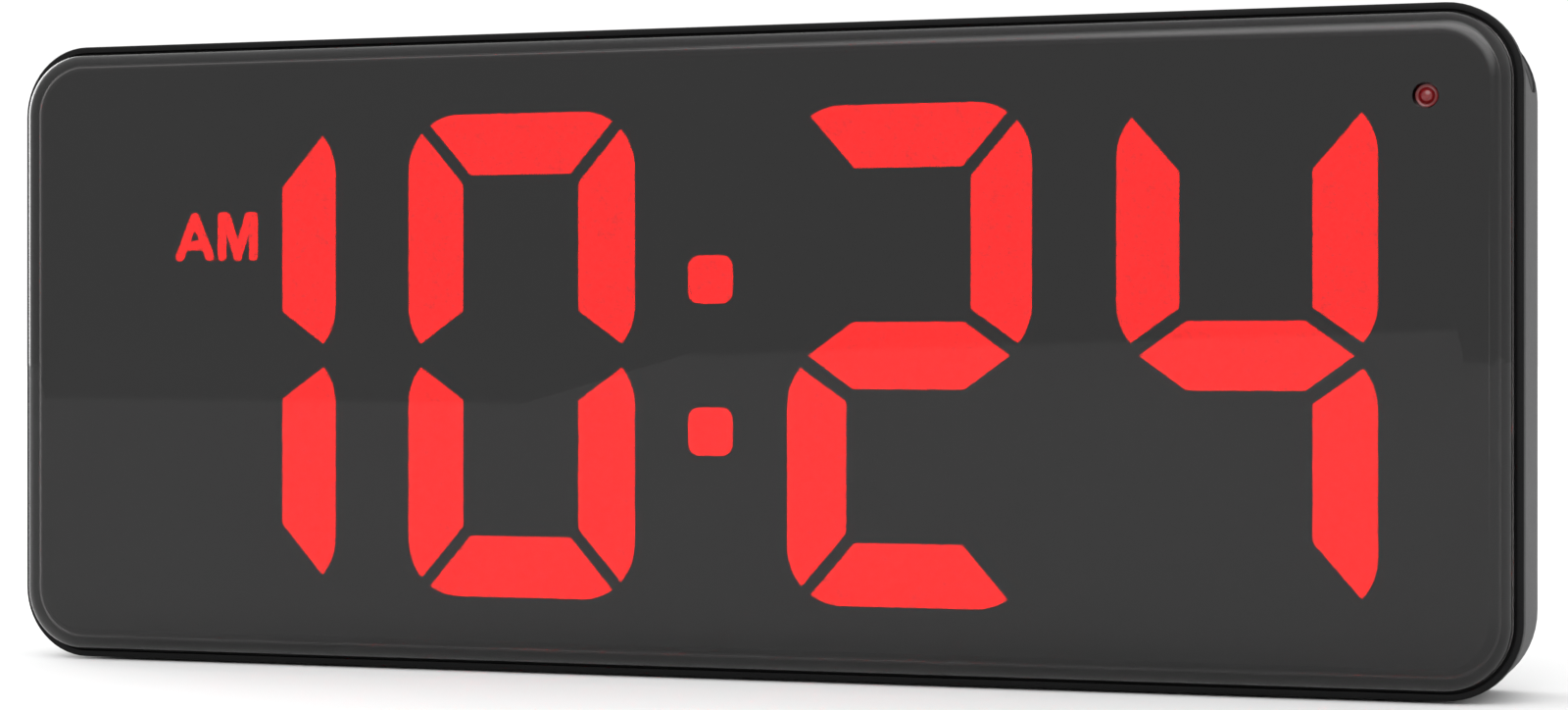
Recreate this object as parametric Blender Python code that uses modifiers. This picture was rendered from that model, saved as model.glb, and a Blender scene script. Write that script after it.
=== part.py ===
"""A large seven-segment LED alarm clock, built as the separate pieces it comes apart into.

The face looks along -Y, +X is to the viewer's right and +Z is up. The origin is under the middle of the
clock, on the surface that its feet stand on.
"""

import math

import bmesh
import bpy
from mathutils import Matrix, Vector

MM = 0.001

# Case outline and depth
WIDTH = 252.0 * MM
HEIGHT = 101.6 * MM
DEPTH = 32.0 * MM
FOOT_PROUD = 0.4 * MM
FRAME_RADIUS = 11.5 * MM
HOUSING_RADIUS = 13.8 * MM
GAP = 0.3 * MM
ARC_STEPS = 6

# Lens, a shallow tinted tray with a pillowed edge
LENS_PROUD = 3.3 * MM
LENS_INSET = 1.45 * MM
LENS_WALL = 2.0 * MM
LENS_EDGE_WIDTH = 3.0 * MM
LENS_EDGE_RISE = 2.4 * MM
LENS_SEAT = 1.0 * MM

# Front frame, the thin rim around the lens with the ledge behind it
RIM_WIDTH = 1.05 * MM
RIM_THICKNESS = 1.6 * MM
LEDGE_WIDTH = 9.0 * MM
LEDGE_THICKNESS = 1.7 * MM
SPIGOT_DEPTH = 3.3 * MM
SPIGOT_WALL = 1.5 * MM
ADHESIVE_WIDTH = 2.2 * MM

# Rear housing
HOUSING_WALL = 2.4 * MM
SIDE_DRAFT = math.radians(4.0)
SIDE_LENGTH = 13.8 * MM
TAPER = math.radians(22.0)
SHOULDER_RADIUS = 12.0 * MM
BACK_RADIUS = 4.0 * MM
BOSS_WALL = 1.6 * MM

# Seven-segment digits: four of them fill the face between its margins
FACE_MARGIN = 20.4 * MM
DIGIT_MARGIN = 12.35 * MM
DIGIT_RADIUS = 9.0 * MM
STROKE = 9.7 * MM
MIDDLE_STROKE = 10.3 * MM
SEGMENT_GAP = 2.0 * MM
DIGIT_SPACE = 13.3 * MM
COLON_GAP = 25.8 * MM
DISPLAY_X = -0.6 * MM
DISPLAY_DROP = 0.6 * MM
COLON_DOT = 7.5 * MM
COLON_SPREAD = 23.7 * MM
LEGEND_WIDTH = 15.5 * MM
LEGEND_HEIGHT = 8.0 * MM
LEGEND_SPACE = 4.55 * MM
LEGEND_RISE = 18.85 * MM
LEGEND_STEP = 16.0 * MM
REFLECTOR_WALL = 1.2 * MM
REFLECTOR_DEPTH = 6.0 * MM
FILM = 0.4 * MM
PAD_DEPTH = 1.2 * MM
LED_SIZE = 2.0 * MM
LED_HEIGHT = 0.8 * MM

# Boards and what they carry
BOARD = 1.6 * MM
BOARD_MARGIN = 5.0 * MM
BACK_SPACE = 10.0 * MM
CONTROL_LEFT_MARGIN = 22.0 * MM
CONTROL_RIGHT_MARGIN = 34.0 * MM
CONTROL_MARGIN = 16.0 * MM
CHIP_HEIGHT = 1.5 * MM

# Light sensor
SENSOR_SIDE = 13.6 * MM
SENSOR_DROP = 13.7 * MM
SENSOR_RADIUS = 1.95 * MM
SENSOR_RECESS = 0.4 * MM

# Screws and their posts
SCREW_SIDE = 12.5 * MM
SCREW_SPREAD = 42.0 * MM
POST_RADIUS = 2.8 * MM
PILOT_RADIUS = 1.35 * MM
SCREW_RADIUS = 1.05 * MM
SCREW_LENGTH = 9.0 * MM
SCREW_HEAD_RADIUS = 2.6 * MM
SCREW_HEAD_HEIGHT = 1.5 * MM

# Top trim and snooze bar
TRIM_FRONT = 6.0 * MM
TRIM_WIDTH = 8.4 * MM
TRIM_THICKNESS = 1.1 * MM
TRIM_DROP = 12.4 * MM
TRIM_END_RADIUS = 3.4 * MM
SNOOZE_LENGTH = 100.0 * MM
SNOOZE_THICKNESS = 2.6 * MM
SNOOZE_PROUD = 0.3 * MM
SNOOZE_TRAVEL = 0.9 * MM

# Push buttons on the back
BUTTON_NAMES = ("time", "alarm", "up", "down")
BUTTON_START = 16.0 * MM
BUTTON_DROP = 6.0 * MM
BUTTON_PITCH = 13.0 * MM
BUTTON_RADIUS = 3.6 * MM
BUTTON_CLEARANCE = 0.3 * MM
BUTTON_TRAVEL = 0.8 * MM
BUTTON_PROUD = 0.6 * MM
PANEL_DEPTH = 0.8 * MM
PANEL_MARGIN = 3.0 * MM
SWITCH_SIZE = 6.2 * MM
SWITCH_HEIGHT = 4.0 * MM
SWITCH_PIN_RADIUS = 1.1 * MM
STEM_RADIUS = 1.7 * MM

# Alarm slide switch
SLIDER_START = 14.0 * MM
SLIDER_TRAVEL = 3.0 * MM
SLIDER_LENGTH = 3.2 * MM
SLIDER_HEIGHT = 2.4 * MM

# Power jack
JACK_SIDE = 18.0 * MM
JACK_RISE = 10.0 * MM
JACK_RADIUS = 4.2 * MM
JACK_BORE_RADIUS = 3.2 * MM
JACK_PIN_RADIUS = 1.0 * MM
JACK_BODY = 11.0 * MM

# Battery compartment for the back-up cell
CELL_RADIUS = 10.0 * MM
CELL_THICKNESS = 3.2 * MM
BATTERY_SPACE = 2.4 * MM
BATTERY_RISE = 8.0 * MM
HOLDER_WALL = 2.0 * MM
CONTACT = 0.3 * MM
COVER_THICKNESS = 1.3 * MM
COVER_MARGIN = 3.0 * MM
COVER_TRAVEL = 5.0 * MM

# Folding stand
STAND_WIDTH = 44.0 * MM
STAND_LENGTH = 55.0 * MM
STAND_THICKNESS = 3.0 * MM
STAND_AXIS_Z = 60.0 * MM
STAND_PIN_RADIUS = 1.0 * MM
STAND_PIN_CLEARANCE = 0.1 * MM
KNUCKLE_RADIUS = 1.9 * MM
STAND_PAD = 5.0 * MM
STAND_RECESS = 0.2 * MM

# Wall-hanging keyholes
KEYHOLE_SIDE = 28.0 * MM
KEYHOLE_UP = 9.0 * MM
KEYHOLE_ENTRY = 4.0 * MM
KEYHOLE_SLOT = 2.2 * MM
KEYHOLE_RISE = 8.0 * MM

# Buzzer
BUZZER_SPACE = 6.0 * MM
BUZZER_DROP = 8.0 * MM
BUZZER_RADIUS = 6.0 * MM
BUZZER_HEIGHT = 7.5 * MM
SOUND_HOLE = 0.9 * MM

# Feet
FOOT_LENGTH = 30.0 * MM
FOOT_WIDTH = 5.0 * MM
FOOT_POCKET = 1.0 * MM
FOOT_SIDE = 32.0 * MM
FOOT_SET_BACK = 6.1 * MM
FOOT_SPREAD = 12.0 * MM

# Planes along Y that the stack of parts shares, from the face to the back
FRONT = -DEPTH / 2
BACK = DEPTH / 2
RIM_FACE = FRONT + LENS_PROUD
RIM_BACK = RIM_FACE + RIM_THICKNESS
LEDGE_FACE = RIM_FACE + LENS_SEAT
FILM_FACE = FRONT + LENS_WALL + GAP
REFLECTOR_FACE = FILM_FACE + FILM + GAP
DISPLAY_FACE = REFLECTOR_FACE + REFLECTOR_DEPTH + GAP
DISPLAY_BACK = DISPLAY_FACE + BOARD
HOUSING_FRONT = RIM_BACK + GAP
BACK_INNER = BACK - HOUSING_WALL
CONTROL_BACK = BACK_INNER - BACK_SPACE
CONTROL_FACE = CONTROL_BACK - BOARD

# Places on the face and on the back that pieces share
BASE = FOOT_PROUD
TOP = BASE + HEIGHT
MIDDLE = BASE + HEIGHT / 2
SIDE = WIDTH / 2
DIGIT_Z = MIDDLE - DISPLAY_DROP
DIGIT_HEIGHT = HEIGHT - 2 * DIGIT_MARGIN
DIGIT_WIDTH = (WIDTH - 2 * FACE_MARGIN - 2 * DIGIT_SPACE - COLON_GAP) / 4
DIGIT_PITCH = DIGIT_WIDTH + DIGIT_SPACE
SENSOR_X = SIDE - SENSOR_SIDE
SENSOR_Z = TOP - SENSOR_DROP
SCREW_X = SIDE - SCREW_SIDE
SCREW_Z = (MIDDLE - SCREW_SPREAD / 2, MIDDLE + SCREW_SPREAD / 2)
CONTROL_LEFT = -SIDE + CONTROL_LEFT_MARGIN
CONTROL_RIGHT = SIDE - CONTROL_RIGHT_MARGIN
CONTROL_LOW = BASE + CONTROL_MARGIN
CONTROL_HIGH = TOP - CONTROL_MARGIN
SLIDER_X = CONTROL_LEFT + SLIDER_START
BUTTON_X = SLIDER_X + BUTTON_START
BUTTON_Z = CONTROL_HIGH - BUTTON_DROP
JACK_X = CONTROL_RIGHT - JACK_SIDE
JACK_Z = CONTROL_LOW + JACK_RISE
BUZZER_X = STAND_WIDTH / 2 + BUZZER_SPACE + BUZZER_RADIUS
HOLDER_SIZE = 2 * (CELL_RADIUS + HOLDER_WALL)
COVER_REACH = HOLDER_SIZE / 2 + COVER_MARGIN
BATTERY_X = BUZZER_X + BUZZER_RADIUS + BATTERY_SPACE + BOSS_WALL + COVER_TRAVEL + COVER_REACH
BATTERY_Z = MIDDLE + BATTERY_RISE
BUZZER_Z = CONTROL_HIGH - BUZZER_DROP
KEYHOLE_X = SIDE - KEYHOLE_SIDE
KEYHOLE_Z = MIDDLE + KEYHOLE_UP
FOOT_X = SIDE - FOOT_SIDE
FOOT_Y = (RIM_BACK + FOOT_SET_BACK, RIM_BACK + FOOT_SET_BACK + FOOT_SPREAD)
COLOUR_BLACK = (0.028, 0.028, 0.030)
COLOUR_GLOSS = (0.010, 0.010, 0.011)
COLOUR_RED = (0.80, 0.02, 0.015)
COLOUR_BOARD = (0.02, 0.13, 0.06)
COLOUR_STEEL = (0.55, 0.55, 0.56)


def clear_scene():
    for obj in list(bpy.data.objects):
        bpy.data.objects.remove(obj, do_unlink=True)


def new_collection(name, hidden=False):
    collection = bpy.data.collections.new(name)
    bpy.context.scene.collection.children.link(collection)
    collection.hide_render = hidden
    return collection


clear_scene()
PARTS = new_collection("alarm_clock")
CUTTERS = new_collection("cutters", hidden=True)


def material(name, colour, roughness=0.5, metallic=0.0):
    made = bpy.data.materials.new(name)
    made.use_nodes = True
    shader = made.node_tree.nodes["Principled BSDF"]
    shader.inputs["Base Color"].default_value = (*colour, 1.0)
    shader.inputs["Roughness"].default_value = roughness
    shader.inputs["Metallic"].default_value = metallic
    made.diffuse_color = (*colour, 1.0)
    return made


def add(name, mesh):
    """Links a mesh as a cutter or a working piece, until finish() makes it a part."""
    obj = bpy.data.objects.new(name, mesh)
    CUTTERS.objects.link(obj)
    obj.hide_render = True
    obj.display_type = "WIRE"
    return obj


def mesh_from(name, bm):
    bmesh.ops.recalc_face_normals(bm, faces=bm.faces)
    mesh = bpy.data.meshes.new(name)
    bm.to_mesh(mesh)
    bm.free()
    return mesh


def block(name, x, y, z):
    """A box between the pairs of limits x, y and z."""
    bm = bmesh.new()
    size = Matrix.Diagonal((x[1] - x[0], y[1] - y[0], z[1] - z[0], 1.0))
    middle = Matrix.Translation((sum(x) / 2, sum(y) / 2, sum(z) / 2))
    bmesh.ops.create_cube(bm, size=1.0, matrix=middle @ size)
    return add(name, mesh_from(name, bm))


def rod(name, centre, radius, limits, axis="Y", steps=24, end_radius=None):
    """A cylinder, or a cone with end_radius, along one axis between two limits.
    Its centre gives the other two."""
    bm = bmesh.new()
    length = limits[1] - limits[0]
    turn = {
        "X": Matrix.Rotation(math.pi / 2, 4, "Y"),
        "Y": Matrix.Rotation(-math.pi / 2, 4, "X"),
        "Z": Matrix.Identity(4),
    }[axis]
    middle = sum(limits) / 2
    place = {
        "X": (middle, centre[0], centre[1]),
        "Y": (centre[0], middle, centre[1]),
        "Z": (centre[0], centre[1], middle),
    }[axis]
    bmesh.ops.create_cone(
        bm,
        cap_ends=True,
        segments=steps,
        radius1=radius,
        radius2=radius if end_radius is None else end_radius,
        depth=length,
        matrix=Matrix.Translation(place) @ turn,
    )
    return add(name, mesh_from(name, bm))


def turned(name, centre, profile, steps=24):
    """A profile of (radius, y) points, from the axis back to the axis, turned about Y at centre (x, z)."""
    bm = bmesh.new()
    points = [bm.verts.new((radius, y, 0.0)) for radius, y in profile]
    for first, second in zip(points, points[1:]):
        bm.edges.new((first, second))
    outline = bpy.data.meshes.new(name)
    bm.to_mesh(outline)
    bm.free()
    source = bpy.data.objects.new(name, outline)
    CUTTERS.objects.link(source)
    screw = source.modifiers.new("turn", "SCREW")
    screw.axis = "Y"
    screw.steps = steps
    screw.render_steps = steps
    screw.use_merge_vertices = True
    screw.merge_threshold = 0.00001
    depsgraph = bpy.context.evaluated_depsgraph_get()
    mesh = bpy.data.meshes.new_from_object(source.evaluated_get(depsgraph))
    bpy.data.objects.remove(source, do_unlink=True)
    mesh.transform(Matrix.Translation((centre[0], 0.0, centre[1])))
    bm = bmesh.new()
    bm.from_mesh(mesh)
    bpy.data.meshes.remove(mesh)
    return add(name, mesh_from(name, bm))


def plate(name, outlines, limits, axis="Y"):
    """A flat outline, with any holes, made thick along an axis.
    Its points are (x, z), or (y, z) for axis X."""
    curve = bpy.data.curves.new(name, "CURVE")
    curve.dimensions = "2D"
    curve.fill_mode = "BOTH"
    curve.extrude = (limits[1] - limits[0]) / 2
    for points in outlines:
        spline = curve.splines.new("POLY")
        spline.points.add(len(points) - 1)
        for target, (a, b) in zip(spline.points, points):
            target.co = (a, b, 0.0, 1.0)
        spline.use_cyclic_u = True
    source = bpy.data.objects.new(name, curve)
    CUTTERS.objects.link(source)
    depsgraph = bpy.context.evaluated_depsgraph_get()
    mesh = bpy.data.meshes.new_from_object(source.evaluated_get(depsgraph))
    bpy.data.objects.remove(source, do_unlink=True)
    middle = sum(limits) / 2
    stand_up = Matrix.Rotation(math.pi / 2, 4, "X")
    if axis == "Y":
        mesh.transform(Matrix.Translation((0, middle, 0)) @ stand_up)
    else:
        mesh.transform(Matrix.Translation((middle, 0, 0)) @ Matrix.Rotation(math.pi / 2, 4, "Z") @ stand_up)
    bm = bmesh.new()
    bm.from_mesh(mesh)
    bpy.data.meshes.remove(mesh)
    bmesh.ops.remove_doubles(bm, verts=bm.verts, dist=0.00001)
    return add(name, mesh_from(name, bm))


def rounded(x, z, radius, steps=ARC_STEPS):
    """Points of a rectangle with round corners, anticlockwise from its lower right corner."""
    points = []
    corners = (
        (x[1] - radius, z[0] + radius, -90),
        (x[1] - radius, z[1] - radius, 0),
        (x[0] + radius, z[1] - radius, 90),
        (x[0] + radius, z[0] + radius, 180),
    )
    for cx, cz, start in corners:
        for step in range(steps + 1):
            angle = math.radians(start + 90 * step / steps)
            points.append((cx + radius * math.cos(angle), cz + radius * math.sin(angle)))
    return points


def case_loop(inset, radius, bottom=None):
    """The clock's outline, moved in by inset; the bottom edge can keep an inset of its own."""
    low = BASE + (inset if bottom is None else bottom)
    half = WIDTH / 2 - inset
    return rounded((-half, half), (low, TOP - inset), max(radius - inset, 0.5 * MM))


def loft(name, loops, ring=False):
    """Joins loops of equal point counts, each (points, y). A ring closes on its first loop; if not, the last
    loop gets a flat cap."""
    bm = bmesh.new()
    rows = [[bm.verts.new((px, y, pz)) for px, pz in points] for points, y in loops]
    count = len(rows[0])
    pairs = list(zip(rows, rows[1:]))
    if ring:
        pairs.append((rows[-1], rows[0]))
    for low, high in pairs:
        for i in range(count):
            j = (i + 1) % count
            bm.faces.new((low[i], low[j], high[j], high[i]))
    if not ring:
        bm.faces.new(rows[-1])
    return add(name, mesh_from(name, bm))


def boolean(obj, operation, *others):
    for other in others:
        modifier = obj.modifiers.new(other.name, "BOOLEAN")
        modifier.operation = operation
        modifier.object = other
        modifier.solver = "EXACT"


def cut(obj, *others):
    boolean(obj, "DIFFERENCE", *others)


def join(obj, *others):
    boolean(obj, "UNION", *others)


def keep_inside(obj, other):
    boolean(obj, "INTERSECT", other)


def finish(obj, look, origin=None, smooth=35.0):
    """Makes a working piece a part: its modifiers are applied, its origin set and its material given."""
    depsgraph = bpy.context.evaluated_depsgraph_get()
    mesh = bpy.data.meshes.new_from_object(obj.evaluated_get(depsgraph))
    mesh.name = obj.name
    obj.modifiers.clear()
    obj.data = mesh
    mesh.materials.clear()
    mesh.materials.append(look)
    mesh.shade_smooth()
    mesh.set_sharp_from_angle(angle=math.radians(smooth))
    if origin is not None:
        mesh.transform(Matrix.Translation(-Vector(origin)))
        obj.location = origin
    CUTTERS.objects.unlink(obj)
    PARTS.objects.link(obj)
    obj.hide_render = False
    obj.display_type = "TEXTURED"
    return obj


# Lens


def lens():
    seat = LEDGE_FACE - GAP
    skirt_top = FRONT + LENS_EDGE_RISE
    loops = [(case_loop(LENS_INSET, FRAME_RADIUS), seat)]
    for step in range(6):
        turn = math.radians(90 * step / 5)
        inset = LENS_INSET + LENS_EDGE_WIDTH * (1 - math.cos(turn))
        loops.append((case_loop(inset, FRAME_RADIUS), skirt_top - LENS_EDGE_RISE * math.sin(turn)))
    body = loft("front_lens", loops)
    thicken = body.modifiers.new("wall", "SOLIDIFY")
    thicken.thickness = LENS_WALL
    thicken.offset = -1
    thicken.use_even_offset = True
    hole = rod("sensor_hole", (SENSOR_X, SENSOR_Z), SENSOR_RADIUS, (FRONT - MM, FRONT + 4 * MM), steps=32)
    cut(body, hole)
    finish(body, material("tinted_lens", COLOUR_BLACK, 0.12))


def lens_adhesive():
    outer = LENS_INSET + LENS_WALL + GAP
    face = LEDGE_FACE - GAP - 0.4 * MM
    loops = [
        (case_loop(outer, FRAME_RADIUS), face),
        (case_loop(outer, FRAME_RADIUS), LEDGE_FACE - GAP),
        (case_loop(outer + ADHESIVE_WIDTH, FRAME_RADIUS), LEDGE_FACE - GAP),
        (case_loop(outer + ADHESIVE_WIDTH, FRAME_RADIUS), face),
    ]
    finish(loft("lens_adhesive", loops, ring=True), material("adhesive_foam", COLOUR_GLOSS, 0.9))


def front_frame():
    spigot = HOUSING_WALL + housing_inset(RIM_BACK + SPIGOT_DEPTH) + GAP
    corner = 0.3 * MM
    rim = (
        (RIM_WIDTH, LEDGE_FACE),
        (RIM_WIDTH, RIM_FACE),
        (corner, RIM_FACE),
        (0.0, RIM_FACE + corner),
        (0.0, RIM_BACK),
    )
    lip = (
        (spigot, RIM_BACK),
        (spigot, RIM_BACK + SPIGOT_DEPTH),
        (spigot + SPIGOT_WALL, RIM_BACK + SPIGOT_DEPTH),
        (spigot + SPIGOT_WALL, LEDGE_FACE + LEDGE_THICKNESS),
        (LEDGE_WIDTH, LEDGE_FACE + LEDGE_THICKNESS),
        (LEDGE_WIDTH, LEDGE_FACE),
    )
    loops = [(case_loop(inset, FRAME_RADIUS), y) for inset, y in rim]
    loops += [(case_loop(inset, HOUSING_RADIUS), y) for inset, y in lip]
    body = loft("front_frame", loops, ring=True)
    for side in (-1, 1):
        for z in SCREW_Z:
            ends = sorted((side * (WIDTH / 2 - LEDGE_WIDTH + MM), side * SCREW_X))
            depth = (LEDGE_FACE, LEDGE_FACE + LEDGE_THICKNESS)
            tab = block("post_tab", ends, depth, grown((z, z), 3 * MM))
            post = rod(
                "post", (side * SCREW_X, z), POST_RADIUS, (LEDGE_FACE + 0.2 * MM, BACK_INNER - GAP), steps=20
            )
            pilot = rod(
                "pilot", (side * SCREW_X, z), PILOT_RADIUS, (BACK_INNER - SCREW_LENGTH, BACK), steps=16
            )
            join(body, tab, post)
            cut(body, pilot)
    finish(body, material("frame_plastic", COLOUR_BLACK, 0.45))


# Light sensor, behind its small hole in the lens


def light_sensor():
    radius = SENSOR_RADIUS - 0.3 * MM
    face = FRONT + SENSOR_RECESS
    flange = FRONT + LENS_WALL + GAP
    profile = [(0.0, face)]
    for step in range(1, 6):
        turn = math.radians(18 * step)
        profile.append((radius * math.sin(turn), face + radius * (1 - math.cos(turn))))
    profile += [(radius, flange), (radius + MM, flange)]
    profile += [(radius + MM, flange + 0.7 * MM), (0.0, flange + 0.7 * MM)]
    body = turned("sensor_window", (SENSOR_X, SENSOR_Z), profile, steps=20)
    finish(body, material("sensor_window", COLOUR_RED, 0.1))
    cell = rod("light_sensor", (SENSOR_X, SENSOR_Z), 1.5 * MM, (flange + MM, DISPLAY_FACE - GAP), steps=20)
    collar = rod(
        "collar", (SENSOR_X, SENSOR_Z), 1.9 * MM, (DISPLAY_FACE - GAP - MM, DISPLAY_FACE - GAP), steps=20
    )
    join(cell, collar)
    finish(cell, material("sensor_cell", (0.3, 0.3, 0.32), 0.2))


# Display: segment outlines, reflectors, diffusers and their board


def arc(centre, start, end, steps=3):
    angles = [math.radians(start + (end - start) * step / steps) for step in range(steps + 1)]
    return [
        (centre[0] + DIGIT_RADIUS * math.cos(angle), centre[1] + DIGIT_RADIUS * math.sin(angle))
        for angle in angles
    ]


def segment_outlines(centre_x):
    """The seven segments of one digit, named a to g, about the digit's centre."""
    a = DIGIT_WIDTH / 2
    b = DIGIT_HEIGHT / 2
    r = DIGIT_RADIUS
    mitre = 131.0
    half_gap = math.degrees(SEGMENT_GAP / 2 / r)
    inner = 0.7 * SEGMENT_GAP
    tip_x = 2.2 * MM
    tip_z = 1.9 * MM
    middle_tip = tip_x + 1.3 * MM
    rise = (STROKE - tip_x) * math.tan(math.radians(34.7))
    top = arc((-a + r, b - r), mitre - half_gap, 90)
    top += arc((a - r, b - r), 90, 180 - mitre + half_gap)
    top += [(a - STROKE - inner, b - STROKE), (-a + STROKE + inner, b - STROKE)]
    waist = math.degrees(math.acos((r - tip_x) / r))
    waist_z = tip_z + r * math.sin(math.radians(waist))
    upper = arc((a - r, b - r), 180 - mitre - half_gap, 0)
    upper += arc((a - r, waist_z), 0, -waist)
    upper += [(a - STROKE, tip_z + rise), (a - STROKE, b - STROKE - inner)]
    half = MIDDLE_STROKE / 2
    slope = middle_tip + half / math.tan(math.radians(35.2))
    middle = [(-a + middle_tip, 0.0), (-a + slope, -half), (a - slope, -half)]
    middle += [(a - middle_tip, 0.0), (a - slope, half), (-a + slope, half)]
    shapes = {
        "a": top,
        "b": upper,
        "c": [(x, -z) for x, z in upper],
        "d": [(x, -z) for x, z in top],
        "e": [(-x, -z) for x, z in upper],
        "f": [(-x, z) for x, z in upper],
        "g": middle,
    }
    return {name: [(centre_x + x, DIGIT_Z + z) for x, z in points] for name, points in shapes.items()}


def dot_outline(x, z, width, height, radius):
    return rounded((x - width / 2, x + width / 2), (z - height / 2, z + height / 2), radius, steps=3)


def display_groups():
    """Each reflector's name with its window outlines."""
    near = (COLON_GAP + DIGIT_WIDTH) / 2
    hour_units = segment_outlines(DISPLAY_X - near)
    hour_tens = segment_outlines(DISPLAY_X - near - DIGIT_PITCH)
    one_left = DISPLAY_X - near - DIGIT_PITCH + DIGIT_WIDTH / 2 - STROKE
    legend_x = one_left - LEGEND_SPACE - LEGEND_WIDTH / 2
    spots = (MIDDLE + LEGEND_RISE, MIDDLE + LEGEND_RISE - LEGEND_STEP)
    return {
        "hour_tens": [hour_tens["b"], hour_tens["c"]],
        "am_pm": [dot_outline(legend_x, z, LEGEND_WIDTH, LEGEND_HEIGHT, MM) for z in spots],
        "hour_units": list(hour_units.values()),
        "colon": [
            dot_outline(DISPLAY_X, DIGIT_Z + side * COLON_SPREAD / 2, COLON_DOT, COLON_DOT, 1.9 * MM)
            for side in (1, -1)
        ],
        "minute_tens": list(segment_outlines(DISPLAY_X + near).values()),
        "minute_units": list(segment_outlines(DISPLAY_X + near + DIGIT_PITCH).values()),
    }


def shrunk(points, by):
    """An outline moved towards its own middle by about the given distance."""
    middle = Vector((sum(p[0] for p in points), sum(p[1] for p in points))) / len(points)
    low_x, high_x = min(p[0] for p in points), max(p[0] for p in points)
    low_z, high_z = min(p[1] for p in points), max(p[1] for p in points)
    scale_x = 1 - 2 * by / (high_x - low_x)
    scale_z = 1 - 2 * by / (high_z - low_z)
    return [(middle.x + (x - middle.x) * scale_x, middle.y + (z - middle.y) * scale_z) for x, z in points]


def display():
    black = material("reflector_face", COLOUR_GLOSS, 0.6)
    red = material("segment_diffuser", COLOUR_RED, 0.4)
    leds = []
    for name, windows in display_groups().items():
        xs = [x for points in windows for x, _ in points]
        zs = [z for points in windows for _, z in points]
        x = (min(xs) - REFLECTOR_WALL, max(xs) + REFLECTOR_WALL)
        z = (min(zs) - REFLECTOR_WALL, max(zs) + REFLECTOR_WALL)
        frame = [(x[0], z[0]), (x[1], z[0]), (x[1], z[1]), (x[0], z[1])]
        reflector = plate(
            name + "_reflector", [frame] + windows, (REFLECTOR_FACE, REFLECTOR_FACE + REFLECTOR_DEPTH)
        )
        finish(reflector, black)
        pads = plate(
            name + "_pads",
            [shrunk(points, GAP) for points in windows],
            (FILM_FACE + FILM / 2, REFLECTOR_FACE + PAD_DEPTH),
        )
        film = plate(name + "_diffuser", [frame], (FILM_FACE, FILM_FACE + FILM))
        join(film, pads)
        finish(film, red)
        for points in windows:
            wide = max(p[0] for p in points) - min(p[0] for p in points)
            tall = max(p[1] for p in points) - min(p[1] for p in points)
            mid = ((max(p[0] for p in points) + min(p[0] for p in points)) / 2,
                   (max(p[1] for p in points) + min(p[1] for p in points)) / 2)
            reach = max(wide, tall) / 4 if max(wide, tall) > 10 * MM else 0.0
            for side in (-1, 1) if reach else (0,):
                along = (side * reach, 0.0) if wide > tall else (0.0, side * reach)
                leds.append((mid[0] + along[0], mid[1] + along[1]))
    return leds


def display_board(leds):
    half = WIDTH / 2 - BOARD_MARGIN
    outline = rounded((-half, half), (BASE + BOARD_MARGIN, TOP - BOARD_MARGIN), 7 * MM, steps=4)
    holes = [
        dot_outline(side * SCREW_X, z, 2 * POST_RADIUS + MM, 2 * POST_RADIUS + MM, POST_RADIUS)
        for side in (-1, 1)
        for z in SCREW_Z
    ]
    board = plate("display_board", [outline] + holes, (DISPLAY_FACE, DISPLAY_BACK))
    bumps = bmesh.new()
    for x, z in leds:
        place = Matrix.Translation((x, DISPLAY_FACE + (0.2 * MM - LED_HEIGHT) / 2, z))
        size = Matrix.Diagonal((LED_SIZE, LED_HEIGHT + 0.2 * MM, LED_SIZE, 1.0))
        bmesh.ops.create_cube(bumps, size=1.0, matrix=place @ size)
    join(board, add("leds", mesh_from("leds", bumps)))
    finish(board, material("display_board", COLOUR_BOARD, 0.4))


# Control board and what is soldered to it


def control_electronics():
    black = material("component_black", (0.02, 0.02, 0.022), 0.5)
    steel = material("component_steel", COLOUR_STEEL, 0.3, 1.0)
    board = plate(
        "control_board",
        [rounded((CONTROL_LEFT, CONTROL_RIGHT), (CONTROL_LOW, CONTROL_HIGH), 3 * MM, steps=3)],
        (CONTROL_FACE, CONTROL_BACK),
    )
    finish(board, material("control_board", COLOUR_BOARD, 0.4))
    front = CONTROL_FACE - GAP
    chips = (
        ("microcontroller", -20 * MM, 50 * MM, 10 * MM, 10 * MM),
        ("led_driver", 24 * MM, 50 * MM, 8 * MM, 6 * MM),
    )
    for name, x, z, wide, tall in chips:
        across = grown((x, x), wide / 2)
        chip = block(name, across, (front - CHIP_HEIGHT, front), grown((z, z), tall / 2))
        finish(chip, black)
    crystal = plate(
        "crystal",
        [rounded((-41 * MM, -31 * MM), (48 * MM, 52 * MM), 1.9 * MM, steps=4)],
        (front - 3 * MM, front),
    )
    finish(crystal, steel)
    link = block("board_connector", (-12 * MM, 12 * MM), (DISPLAY_BACK + GAP, front), (24 * MM, 29 * MM))
    finish(link, black)
    buzzer = rod(
        "buzzer",
        (BUZZER_X, BUZZER_Z),
        BUZZER_RADIUS,
        (CONTROL_BACK + GAP, CONTROL_BACK + GAP + BUZZER_HEIGHT),
        steps=32,
    )
    mouth = rod(
        "buzzer_mouth",
        (BUZZER_X, BUZZER_Z),
        MM,
        (CONTROL_BACK + BUZZER_HEIGHT - MM, CONTROL_BACK + BUZZER_HEIGHT + MM),
        steps=16,
    )
    cut(buzzer, mouth)
    finish(buzzer, black)


# Rear housing


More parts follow.
